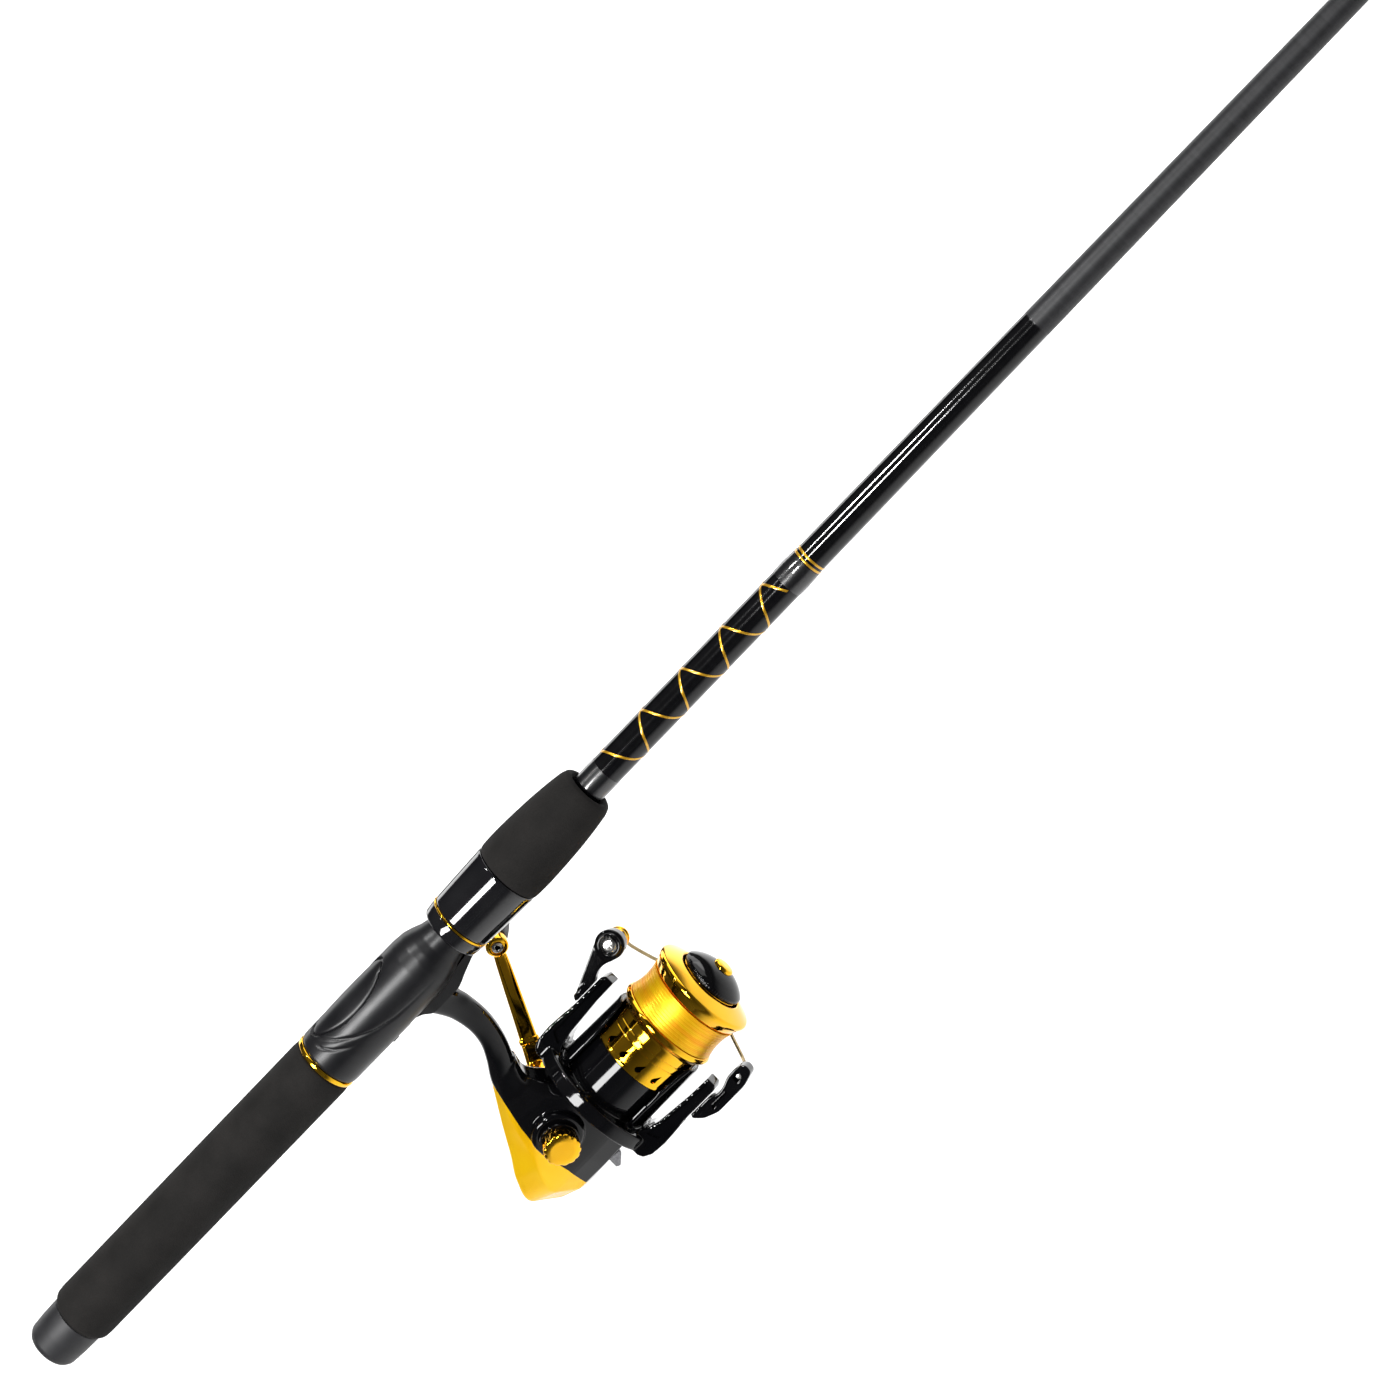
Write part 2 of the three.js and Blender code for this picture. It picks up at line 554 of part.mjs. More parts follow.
function makePinion() {
  const teethFrom = CRANK_X + MESH_X - 3.4;
  const outline = spurOutline(PINION_TEETH, TOOTH_MODULE).map(([p, q]) => {
    const phase = Math.PI;
    return [p * Math.cos(phase) - q * Math.sin(phase), p * Math.sin(phase) + q * Math.cos(phase) + AXIS_Z];
  });
  const teeth = plateX(outline, teethFrom, 242.8);
  const sleeve = turnX([[242, 0], [242, 2.9], [243.4, 3.15], [281, 3.15], [281, 0]], AXIS_Z, 20);
  const bore = turnX(rod(teethFrom - 5, 285, SHAFT_BORE_R), AXIS_Z, 16);
  place('pinion_gear', cut(join(teeth, sleeve), bore), BRASS);
}

// ---------- rotor: the frame of axes X, u (through the arms) and v (towards the near side) ----------
const U = new THREE.Vector3(0, Math.cos(rad(ARM_TILT)), Math.sin(rad(ARM_TILT)));
const V = new THREE.Vector3(0, -Math.sin(rad(ARM_TILT)), Math.cos(rad(ARM_TILT)));

// Geometry drawn with x along the shaft, y along u and z along v, brought to its place.
function toRotor(geometry) {
  const turn = new THREE.Matrix4().makeBasis(new THREE.Vector3(1, 0, 0), U, V);
  turn.setPosition(0, 0, AXIS_Z);
  return geometry.applyMatrix4(turn);
}

// An outline of [x, u] points drawn through v0..v1, still in rotor axes.
function armPlate(outline, v0, v1) {
  const shape = new THREE.Shape(outline.map(([x, u]) => new THREE.Vector2(x, u)));
  const plate = new THREE.ExtrudeGeometry(shape, { depth: v1 - v0, bevelEnabled: false });
  return closed(plate.translate(0, 0, v0));
}

function localCylinderU(x, v, radius, u0, u1, facets = SMALL_ROUND) {
  return new THREE.CylinderGeometry(radius, radius, u1 - u0, facets).translate(x, (u0 + u1) / 2, v);
}

function localCylinderV(x, u, radius, v0, v1, facets = SMALL_ROUND) {
  return new THREE.CylinderGeometry(radius, radius, v1 - v0, facets).rotateX(Math.PI / 2)
    .translate(x, u, (v0 + v1) / 2);
}

function rotorArm(sign) {
  const side = [[ROTOR_BACK, 22], [ROTOR_BACK, 31.5], [246.4, 33.2], [250, 34.6], [258, ARM_OUTER],
    [ARM_TIP - 2, ARM_OUTER], [ARM_TIP, 33.6], [ARM_TIP, ARM_INNER], [280, ARM_INNER], [262, 27.8],
    [256, 26.6], [252.5, 24.4], [252.5, 22]].map(([x, u]) => [x, u * sign]);
  const blade = armPlate(side, -9, 9);
  const plan = [[240, 12], [252, 12], [268, 8.4], [282, 6.6], [288, 5]];
  const outline = [...plan, ...plan.map(([x, v]) => [x, -v]).reverse()];
  const shape = new THREE.Shape(outline.map(([x, v]) => new THREE.Vector2(x, v)));
  const taper = new THREE.ExtrudeGeometry(shape, { depth: 60, bevelEnabled: false })
    .rotateX(Math.PI / 2).translate(0, sign > 0 ? 60 : 0, 0);
  const ends = [sign * (ARM_INNER - 3), sign * (ARM_OUTER + 3)].sort((p, q) => p - q);
  const hole = localCylinderU(PIVOT_X + 4, 0, 1.7, ...ends);
  return cut(common(blade, taper), hole);
}

function makeRotor() {
  const local = (profile, facets = ROUND) => turnX(profile, 0, facets);
  const cup = local([[ROTOR_BACK + 1, 18], [ROTOR_BACK + 1, CUP_R], [CUP_FRONT - 1, CUP_R],
    [CUP_FRONT, CUP_R - 1], [CUP_FRONT, 3.45], [CUP_FRONT - 2.6, 3.45], [CUP_FRONT - 2.6, 18],
    [ROTOR_BACK + 1, 18]]);
  const ring = new THREE.Shape(oval(32.5, 28.2, 28));
  ring.holes.push(new THREE.Path(oval(24.5, 24.5, 20)));
  const rimBand = closed(new THREE.ExtrudeGeometry(ring, { depth: 7.4, bevelEnabled: false })
    .applyMatrix4(new THREE.Matrix4().set(0, 0, 1, ROTOR_BACK, 1, 0, 0, 0, 0, 1, 0, 0, 0, 0, 0, 1)));
  const floor = local([[248.2, 17.5], [248.2, 26], [250.6, 26], [250.6, 17.5], [248.2, 17.5]]);
  const wall = local(tube(250, SHOULDER_FRONT, SHOULDER_R, SHOULDER_R + 1.5));
  const sector = (sign) => armPlate([[251, sign * 3], [291, sign * 3], [291, sign * 30],
    [251, sign * 30]], -13, 13);
  const shoulders = [1, -1].map((sign) => common(wall, sector(sign)));
  const parts = [cup, rimBand, floor, ...shoulders, rotorArm(1), rotorArm(-1)];
  place('rotor', toRotor(join(...parts)), GLOSS_BLACK);
  const nutBore = turnX(rod(CUP_FRONT - 2, CUP_FRONT + 6, 3.45), AXIS_Z, SMALL_ROUND);
  place('rotor_nut', cut(turnX(rod(CUP_FRONT + GAP, CUP_FRONT + 3.4, 6), AXIS_Z, 6), nutBore), BRASS);
}

function makeBail() {
  const inner = ARM_OUTER + GAP;
  // roller side
  const root = localCylinderU(PIVOT_X, 0, 5, inner, 38.4, 20);
  const bar = armPlate([[PIVOT_X - 5, inner + 0.2], [PIVOT_X - 4.4, 37], [297, 48.2], [304, 47.5], [306, 39],
    [297, 36.6], [290, 37.4], [284, inner + 0.2]], -3.4, 3.4);
  const head = localCylinderV(301.5, ROLLER_U, 7, -3.6, 3.8, 24);
  const axle = localCylinderV(301.5, ROLLER_U, 1.6, -12, 0, 12);
  place('bail_lever', toRotor(join(root, bar, head, axle)), GLOSS_BLACK);
  place('roller_screw', toRotor(join(localCylinderV(301.5, ROLLER_U, 3.1, 4.1, 5.3, 20))), STEEL);
  // far side
  const holderRoot = localCylinderU(PIVOT_X, 0, 5, -38.6, -inner, 20);
  const holderBar = armPlate([[PIVOT_X - 3.5, -inner - 0.2], [284, -inner - 0.2], [289, -37.2],
    [293, -36.6], [298, -35], [303, -34.8], [307, -37.4], [306.4, -41], [299, -43], [282, -43],
    [276, -40.6], [PIVOT_X - 4, -37.4]], -3.6, 3.6);
  const socket = localCylinderV(301.2, -38.6, 3.2, -9, 3, 16);
  place('bail_holder', toRotor(join(holderRoot, holderBar, socket)), GLOSS_BLACK);
  // wire in the plane across the shaft, bowed to the far side to clear the drag knob
  const route = [[301.2, 42.2, -19.6], [300, 39.6, -23], [WIRE_X, 35.4, -27.6], [WIRE_X, 24, -39],
    [300.6, 11.5, -50.4], [301.5, 0, -55], [300.6, -11.5, -50.4], [WIRE_X, -24, -39],
    [WIRE_X, -35, -26], [300, -37.8, -17], [301.2, -38.4, -9.5]];
  const wire = sweep(route, oval(WIRE_R, WIRE_R, 6), 28);
  place('bail_wire', toRotor(wire), STEEL);
  const cone = turnX([[0, 0], [0, 3.4], [1.4, 5.2], [3.4, 4.8], [6.6, 1.7], [6.6, 0]], 0, 20);
  cone.rotateY(Math.PI / 2).translate(301.5, ROLLER_U, -12.4);
  place('bail_wire_end', toRotor(cone), GOLD);
  const groove = [[1.75, -11.7], [4.9, -11.7], [4.9, -10.9], [3.7, -9.4], [3.7, -6.2], [4.9, -4.6],
    [4.9, -3.9], [1.75, -3.9], [1.75, -11.7]];
  const roller = new THREE.LatheGeometry(groove.map(([r, h]) => new THREE.Vector2(r, h)), 20);
  roller.rotateX(Math.PI / 2).translate(301.5, ROLLER_U, 0);
  place('line_roller', toRotor(closed(roller)), STEEL);
}

// ---------- spool ----------
function makeSpool() {
  const backLip = 293.8;
  const arborBack = 296.2;
  const arborFront = 311.8;
  const profile = [[SKIRT_BACK, SKIRT_R - 1], [SKIRT_BACK, SKIRT_R], [272.6, SKIRT_R + 0.15],
    [291, SKIRT_R], [backLip - 1.2, 23.2], [backLip, 24.4], [backLip + 1, 24.4],
    [arborBack, 23.4], [arborBack, ARBOR_R],
    [arborFront, ARBOR_R], [arborFront, 22.8], [315.6, 24.8], [LIP_FRONT - 1, LIP_R],
    [LIP_FRONT, LIP_R], [LIP_FRONT + 0.6, 24.7], [SPOOL_FRONT, SPOOL_MOUTH_R + 0.7],
    [SPOOL_FRONT - 0.2, SPOOL_MOUTH_R], [317.2, SPOOL_MOUTH_R], [306, 15.4],
    [304.4, 13.4], [304.4, SHAFT_BORE_R], [298.4, SHAFT_BORE_R], [298.4, 4.6],
    [301.8, 5.6], [301.8, 14.6], [292, 19.4], [289, SKIRT_R - 1],
    [SKIRT_BACK, SKIRT_R - 1]];
  place('spool', turnX(profile, AXIS_Z), GOLD);
  const lineBack = arborBack + GAP;
  const lineFront = arborFront - GAP;
  const lineCore = ARBOR_R + GAP;
  place('wound_line', turnX([[lineBack, lineCore], [lineBack, 23.3], [298, 23.2], [301, 22.5],
    [304, 22.2], [307, 22.5], [310, 23.3], [lineFront, 23.3], [lineFront, lineCore],
    [lineBack, lineCore]], AXIS_Z), LINE);
  const washers = [['drag_washer_felt_inner', 304.7, FELT], ['drag_washer_steel', 306.3, STEEL],
    ['drag_washer_felt_outer', 307.9, FELT]];
  for (const [name, from, material] of washers) {
    place(name, turnX(tube(from, from + 1.3, 2.4, 12.4), AXIS_Z, 16), material);
  }
  const clip = toRotor(armPlate([[277, SKIRT_R + 0.15], [277, SKIRT_R + 0.6],
    [278, SKIRT_R + 0.75], [283, SKIRT_R + 0.75], [285, SKIRT_R + 0.5],
    [285, SKIRT_R + 0.15]], -1.3, 1.3));
  const turned = new THREE.Matrix4().makeTranslation(0, 0, AXIS_Z)
    .multiply(new THREE.Matrix4().makeRotationX(rad(CLIP_TURN)))
    .multiply(new THREE.Matrix4().makeTranslation(0, 0, -AXIS_Z));
  place('line_clip', clip.applyMatrix4(turned), BRASS);
}

function makeDragKnob() {
  place('drag_knob', turnX([[309.6, 3.2], [309.6, 12.6], [312, 14.4], [321, KNOB_R - 0.7],
    [322.4, KNOB_R - 0.1], [325, KNOB_R], [326.2, 14.6], [328.2, 11], [330.4, 6], [331, 4.4],
    [KNOB_TIP, 3.6],
    [KNOB_TIP, 0], [316, 0], [316, 3.2], [309.6, 3.2]], AXIS_Z), GLOSS_BLACK);
}

function makeShaftGroup() {
  const slider = box([204.4, -2.3, AXIS_Z - 8.6], [210.4, 3, AXIS_Z + 8.6]);
  const slot = box([206, 1.6, AXIS_Z - 7], [209, 4, AXIS_Z + 7]);
  const hole = turnX(rod(200, 215, SHAFT_BORE_R), AXIS_Z, 16);
  place('oscillation_slider', cut(slider, slot, hole), NYLON);
  const end = turnX([[200.6, 0], [200.6, SHAFT_R], [315, SHAFT_R], [315, 0]], AXIS_Z, 16);
  const keeper = turnX(tube(296.4, 298, 1.4, 5.2), AXIS_Z, 20);
  place('main_shaft', join(end, keeper), STEEL);
}

// ---------- crank ----------
function makeCrank() {
  const [endX, endY, endZ] = CRANK_END;
  const armLength = Math.hypot(endX - CRANK_X, endZ - CRANK_Z);
  const dirX = (endX - CRANK_X) / armLength;
  const dirZ = (endZ - CRANK_Z) / armLength;
  const along = (distance, y) => [CRANK_X + dirX * distance, y, CRANK_Z + dirZ * distance];
  const hub = turnY([[27, 0], [27, 5.6], [29, 6.2], [37.6, 6.2], [39.4, 5], [39.4, 0]], CRANK_X, CRANK_Z, 20);
  const socket = turnY([[24.8, 0], [24.8, 4.6], [27.4, 5], [27.4, 0]], CRANK_X, CRANK_Z, 20);
  const arm = sweep([along(0, 35.5), along(9, 38.2), along(20, 43.2), along(38, 47.4),
    along(52, 50), along(armLength, endY - 0.6)], oval(2.6, 4.1, 8), 8);
  const boss = turnY([[endY - 3.2, 0], [endY - 3.2, 4.2], [endY - 2.2, 5.2], [endY + 2.2, 5.2],
    [endY + 3.2, 4.4], [endY + 3.2, 0]], endX, endZ, 20);
  const spindle = turnY(rod(endY, endY + 32, 2), endX, endZ, 12);
  place('crank_arm', join(hub, socket, arm, boss, spindle), GOLD);
  place('crank_knob', turnY([[endY + 3.8, 2.2], [endY + 3.8, 5.6], [endY + 7, 6.4], [endY + 14, 8.2],
    [endY + 22, 9.6], [endY + 28, 9.4], [endY + 32, 7.6], [endY + 33.4, 5.4], [endY + 33.4, 2.2],
    [endY + 3.8, 2.2]], endX, endZ, 20), GLOSS_BLACK);
  place('crank_knob_cap', turnY([[endY + 33.7, 0], [endY + 33.7, 5.2], [endY + 34.6, 4.8], [endY + 35.3, 3],
    [endY + 35.3, 0]], endX, endZ, 20), GOLD);
  const scallops = 14;
  const outline = [];
  for (let i = 0; i < scallops * 4; i += 1) {
    const angle = (2 * Math.PI * i) / (scallops * 4);
    const radius = 7.9 + 0.45 * Math.sign(Math.cos(angle * scallops + 0.4));
    outline.push([CRANK_X + radius * Math.cos(angle), CRANK_Z + radius * Math.sin(angle)]);
  }
  const grip = plateY(outline, -26.2, -20.6);
  const face = turnY([[-27.2, 0], [-27.2, 6.2], [-26, 7.2], [-26, 0]], CRANK_X, CRANK_Z, 24);
  const collar = turnY([[-21, 0], [-21, 6.6], [-19.7, 6.6], [-19.7, 0]], CRANK_X, CRANK_Z, 24);
  place('handle_screw_cap', join(grip, face, collar), GOLD);
}

makeBlank();
makeRearHandle();
makeReelSeat();
makeSlidingHood();
makeLockSleeve();
GUIDES.forEach(makeGuide);
makeTipTop();
makeHousing();
makeBearings();
makeAntiReverseLever();
makeDriveGear();
makeOscillationGear();
makePinion();
makeRotor();
makeBail();
makeSpool();
makeDragKnob();
makeShaftGroup();
makeCrank();

export default assembly;
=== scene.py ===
import math

import bmesh
import bpy
from mathutils import Matrix, Vector


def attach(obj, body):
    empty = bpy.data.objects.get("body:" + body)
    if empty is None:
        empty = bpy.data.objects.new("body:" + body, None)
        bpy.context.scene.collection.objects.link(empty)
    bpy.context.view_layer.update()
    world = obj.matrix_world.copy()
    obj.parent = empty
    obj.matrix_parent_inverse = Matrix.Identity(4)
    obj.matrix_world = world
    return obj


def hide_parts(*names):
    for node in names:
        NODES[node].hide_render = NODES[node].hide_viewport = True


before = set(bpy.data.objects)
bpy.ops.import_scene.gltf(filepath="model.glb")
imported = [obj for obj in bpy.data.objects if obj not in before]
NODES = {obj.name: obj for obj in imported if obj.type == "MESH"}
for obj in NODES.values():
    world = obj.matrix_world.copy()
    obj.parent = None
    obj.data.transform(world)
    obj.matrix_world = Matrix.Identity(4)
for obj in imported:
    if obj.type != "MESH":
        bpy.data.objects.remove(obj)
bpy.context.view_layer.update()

MM = 0.001

# ---------- driving dimensions, in millimetres ----------
AXIS_Z = -110.8                 # line of the spool, rotor and main shaft
CRANK_X, CRANK_Z = 227.0, -102.0
CRANK_END = Vector((259.8, 51.5, -49.5))
ARM_TILT = math.radians(57.5)   # from +Y to the line through the rotor's arms
ROLLER_X, ROLLER_U = 301.5, 42.6
PIVOT_X = 276.7
BLANK_BORE = 7.65
SEAT_R = 14.9
SKIRT_R = 21.1
PORTS, FIRST_PORT = 14, 19.9    # drop-shaped holes of the skirt, and the first one's turn in degrees
CLIP_TURN = 265.5
FLOOR_LEVEL, FLOOR_HALF = -0.75, 14.0   # metres
GUIDES = [(900, 33, 14.5, 34), (1225, 25, 11, 28), (1505, 18, 8.5, 24), (1740, 13.5, 6.8, 20),
          (1935, 11, 5.8, 17)]
BLANK = [(0, 7.35), (490, 7.35), (500, 7.0), (633, 6.5), (830, 5.65), (1070, 4.7), (1500, 3.3),
         (1900, 2.0), (2134, 1.3)]

U_AXIS = Vector((0, math.cos(ARM_TILT), math.sin(ARM_TILT)))
V_AXIS = Vector((0, -math.sin(ARM_TILT), math.cos(ARM_TILT)))
ROTOR_FRAME = Matrix((
    (1, 0, 0, 0),
    (0, U_AXIS.y, V_AXIS.y, 0),
    (0, U_AXIS.z, V_AXIS.z, AXIS_Z),
    (0, 0, 0, 1),
))
SHAFT_FRAME = Matrix.Translation((0, 0, AXIS_Z))


# ---------- material makers ----------
class Graph:
    """A node tree being built. Inputs are set by name, each to a plain value or to another node's output."""

    def __init__(self, owner, target="Principled BSDF", place="Object"):
        owner.use_nodes = True
        self.owner = owner
        self.tree = owner.node_tree
        self.target = self.tree.nodes[target]
        self.place = self.tree.nodes.new("ShaderNodeTexCoord").outputs[place]

    def put(self, node, inputs):
        for name, value in inputs.items():
            if isinstance(value, bpy.types.NodeSocket):
                self.tree.links.new(value, node.inputs[name])
            else:
                node.inputs[name].default_value = value

    def add(self, kind, inputs, **settings):
        node = self.tree.nodes.new("ShaderNode" + kind)
        for name, value in settings.items():
            setattr(node, name, value)
        self.put(node, inputs)
        return node

    def finish(self, **inputs):
        """Sets the shader's inputs, an underscore for each space in a name, and gives the material."""
        self.put(self.target, {name.replace("_", " "): value for name, value in inputs.items()})
        return self.owner

    def noise(self, scale, detail=4.0, stretch=None):
        place = self.place
        if stretch:
            place = self.add("Mapping", {"Vector": place, "Scale": stretch}).outputs["Vector"]
        inputs = {"Vector": place, "Scale": scale, "Detail": detail, "Roughness": 0.55}
        return self.add("TexNoise", inputs).outputs["Fac"]

    def wave(self, scale, distortion, **inputs):
        """Bands across X, as close turns of line or thread have."""
        inputs = {name.replace("_", " "): value for name, value in inputs.items()}
        inputs.update({"Vector": self.place, "Scale": scale, "Distortion": distortion})
        return self.add("TexWave", inputs, bands_direction="X").outputs["Fac"]

    def ramp(self, value, stops):
        """The value as a colour, by (position, colour) stops."""
        node = self.add("ValToRGB", {"Fac": value})
        elements = node.color_ramp.elements
        for element, (at, color) in zip(elements, stops[:2]):
            element.position = at
            element.color = (*color, 1)
        for at, color in stops[2:]:
            elements.new(at).color = (*color, 1)
        return node.outputs["Color"]

    def tint(self, value, low, high, start=0.3, end=0.7):
        return self.ramp(value, [(start, low), (end, high)])

    def span(self, value, low, high, start=0.3, end=0.7):
        """The value mapped from start..end onto low..high."""
        inputs = {"Value": value, "From Min": start, "From Max": end, "To Min": low, "To Max": high}
        return self.add("MapRange", inputs).outputs["Result"]

    def blend(self, a, b, factor, mode="MIX"):
        node = self.add("Mix", {}, data_type="RGBA", blend_type=mode)
        self.put(node, {"Factor": factor, "A": a, "B": b})
        return node.outputs["Result"]

    def bump(self, height, strength, distance, under=None):
        inputs = {"Height": height, "Strength": strength, "Distance": distance}
        if under:
            inputs["Normal"] = under
        return self.add("Bump", inputs).outputs["Normal"]


def new_graph(name):
    return Graph(bpy.data.materials.new(name))


def moulded(name, dark, light, rough, grain, depth, metallic=0.0, coat=0.0, shine=0.5):
    """Moulded or plated surface: mottled colour, uneven gloss and a fine grain."""
    graph = new_graph(name)
    patches = graph.noise(45.0, 3.0)
    grain_bump = graph.bump(graph.noise(grain, 3.0), 0.35, depth)
    return graph.finish(Base_Color=graph.tint(patches, dark, light), Metallic=metallic,
                        Roughness=graph.span(patches, *rough), Specular_IOR_Level=shine,
                        Normal=grain_bump, Coat_Weight=coat, Coat_Roughness=0.04)


def make_foam():
    """Closed-cell foam: fine open pores where it was ground to shape, slightly brown black."""
    graph = new_graph("foam")
    cells = graph.add("TexVoronoi", {"Vector": graph.place, "Scale": 1900.0}).outputs["Distance"]
    speckle = graph.noise(2600.0, 2.0)
    body = graph.tint(graph.noise(60.0, 6.0), (0.0065, 0.006, 0.0055), (0.015, 0.0135, 0.0125), 0.3, 0.72)
    flecks = graph.tint(speckle, (0.45, 0.45, 0.45), (1.0, 1.0, 1.0), 0.35, 0.65)
    pores = graph.bump(cells, 0.5, 0.00012)
    return graph.finish(Base_Color=graph.blend(body, flecks, 0.6, "MULTIPLY"), Roughness=0.88,
                        Specular_IOR_Level=0.25, Normal=graph.bump(speckle, 0.35, 0.00008, pores))


def make_wound_line():
    """Level-wound nylon: fine turns across the spool, gold of uneven depth in bands, with painted shade in
    the grooves between turns.
    """
    graph = new_graph("wound_line")
    turns = graph.wave(420.0, 1.6, Detail=2.0, Detail_Scale=0.25)
    layers = graph.noise(90.0, 4.0, (3.0, 0.25, 0.25))
    gold = graph.tint(layers, (0.98, 0.40, 0.002), (1.0, 0.60, 0.004), 0.35, 0.62)
    # painted shade: the colour is darkened where the turns' bump is low, in the grooves between them
    grooves = graph.tint(turns, (0.78, 0.64, 0.4), (1.0, 1.0, 1.0), 0.05, 0.5)
    return graph.finish(Base_Color=graph.blend(gold, grooves, 0.55, "MULTIPLY"), Roughness=0.36,
                        Metallic=0.55, Normal=graph.bump(turns, 0.35, 0.00012))


def make_thread(name, dark, light, metallic):
    """Whipping thread under varnish: close turns across the blank, with painted shade in the grooves between
    turns.
    """
    graph = new_graph(name)
    turns = graph.wave(900.0, 0.6)
    # painted shade: the colour runs from the dark colour in the grooves between turns to the thread's own
    # colour on their tops
    return graph.finish(Base_Color=graph.tint(turns, dark, light, 0.2, 0.8), Metallic=metallic,
                        Roughness=0.3, Coat_Weight=1.0, Coat_Roughness=0.05,
                        Normal=graph.bump(turns, 0.4, 0.00005))


def make_blank():
    """Fibre tube: varnished near the handle, bare and grey with faint ribbon marks beyond x = 633 mm."""
    graph = new_graph("blank")
    along = graph.add("SeparateXYZ", {"Vector": graph.place}).outputs["X"]
    bare = graph.span(along, 0.0, 1.0, 0.6325, 0.6335)
    ribbons = graph.noise(240.0, 3.0, (2.2, 0.3, 0.3))
    grey = graph.tint(ribbons, (0.010, 0.010, 0.011), (0.020, 0.020, 0.022))
    gloss = graph.tint(ribbons, (0.0015, 0.0015, 0.002), (0.003, 0.003, 0.0035))
    return graph.finish(Base_Color=graph.blend(gloss, grey, bare), Normal=graph.bump(ribbons, 0.2, 0.00006),
                        Roughness=graph.span(bare, 0.09, 0.46, 0.0, 1.0))


def make_brushed(name, dark, light, rough):
    """Bare metal with fine mottled wear."""
    graph = new_graph(name)
    wear = graph.noise(900.0)
    return graph.finish(Base_Color=graph.tint(wear, dark, light), Roughness=graph.span(wear, *rough),
                        Normal=graph.bump(wear, 0.2, 0.00002), Metallic=1.0)


def make_felt():
    graph = new_graph("felt")
    hairs = graph.noise(1400.0, 8.0)
    return graph.finish(Base_Color=graph.tint(hairs, (0.16, 0.145, 0.12), (0.34, 0.31, 0.26)),
                        Roughness=0.95, Normal=graph.bump(hairs, 0.7, 0.0002))


FOAM = make_foam()
RUBBER = moulded("satin_rubber", (0.010, 0.010, 0.011), (0.018, 0.018, 0.020), (0.42, 0.55), 2400.0,
                 0.00003)
SATIN = moulded("satin_graphite", (0.005, 0.005, 0.006), (0.009, 0.009, 0.010), (0.30, 0.38), 3000.0,
                0.00002, shine=0.36)
GLOSS = moulded("gloss_black", (0.0015, 0.0015, 0.002), (0.003, 0.003, 0.0036), (0.04, 0.08), 420.0,
                0.00001, shine=0.33)
SLEEVE = moulded("sleeve_black", (0.004, 0.004, 0.005), (0.008, 0.008, 0.009), (0.05, 0.10), 260.0,
                 0.00005, coat=0.5)
GOLD = moulded("gold_chrome", (1.0, 0.50, 0.012), (1.0, 0.57, 0.022), (0.05, 0.11), 500.0, 0.00001,
               metallic=1.0, coat=0.2)
SHELL_GOLD = moulded("gold_shell", (1.0, 0.53, 0.001), (1.0, 0.60, 0.002), (0.16, 0.22), 700.0, 0.00001,
                     metallic=0.4, coat=0.2)
CERAMIC = moulded("ceramic_ring", (0.010, 0.010, 0.012), (0.018, 0.018, 0.020), (0.05, 0.10), 900.0,
                  0.00001, coat=1.0)
NYLON = moulded("nylon", (0.62, 0.58, 0.48), (0.78, 0.75, 0.66), (0.4, 0.5), 900.0, 0.00003)
LINE = make_wound_line()
GOLD_THREAD = make_thread("gold_thread", (0.50, 0.22, 0.006), (0.95, 0.55, 0.03), 0.7)
BLACK_THREAD = make_thread("black_thread", (0.0015, 0.0015, 0.002), (0.004, 0.004, 0.005), 0.0)
BLANK_SKIN = make_blank()
STEEL = make_brushed("steel", (0.50, 0.49, 0.47), (0.68, 0.67, 0.65), (0.16, 0.28))
DARK_STEEL = make_brushed("dark_steel", (0.16, 0.16, 0.17), (0.30, 0.30, 0.31), (0.12, 0.22))
WIRE = make_brushed("warm_wire", (0.26, 0.19, 0.09), (0.42, 0.33, 0.18), (0.16, 0.26))
BRASS = make_brushed("brass", (0.55, 0.38, 0.13), (0.72, 0.52, 0.20), (0.25, 0.4))
FELT = make_felt()


# ---------- geometry in millimetres: (vertices, faces) ----------
def fillet(profile, radius=0.5, steps=4):
    """A polyline with its corners rounded. Corners on the axis stay sharp."""
    closed = profile[0] == profile[-1]
    points = [Vector(p) for p in (profile[:-1] if closed else profile)]
    count = len(points)
    out = []
    for i, point in enumerate(points):
        if not closed and i in (0, count - 1):
            out.append(tuple(point))
            continue
        before, after = points[i - 1], points[(i + 1) % count]
        reach = min(radius, 0.42 * (before - point).length, 0.42 * (after - point).length)
        if reach < 0.02 or abs(point[1]) < 1e-6:
            out.append(tuple(point))
            continue
        start = point + (before - point).normalized() * reach
        end = point + (after - point).normalized() * reach
        for k in range(steps + 1):
            t = k / steps
            out.append(tuple(start * (1 - t) ** 2 + point * 2 * t * (1 - t) + end * t * t))
    if closed:
        out.append(out[0])
    return out


def rounded(outline, radius, steps=4):
    """A closed outline, its first point not repeated, with its corners rounded."""
    return fillet(outline + [outline[0]], radius, steps)[:-1]


def bridged(low, high):
    """Faces between two rings of equal count."""
    n = len(low)
    return [(low[i], low[(i + 1) % n], high[(i + 1) % n], high[i]) for i in range(n)]


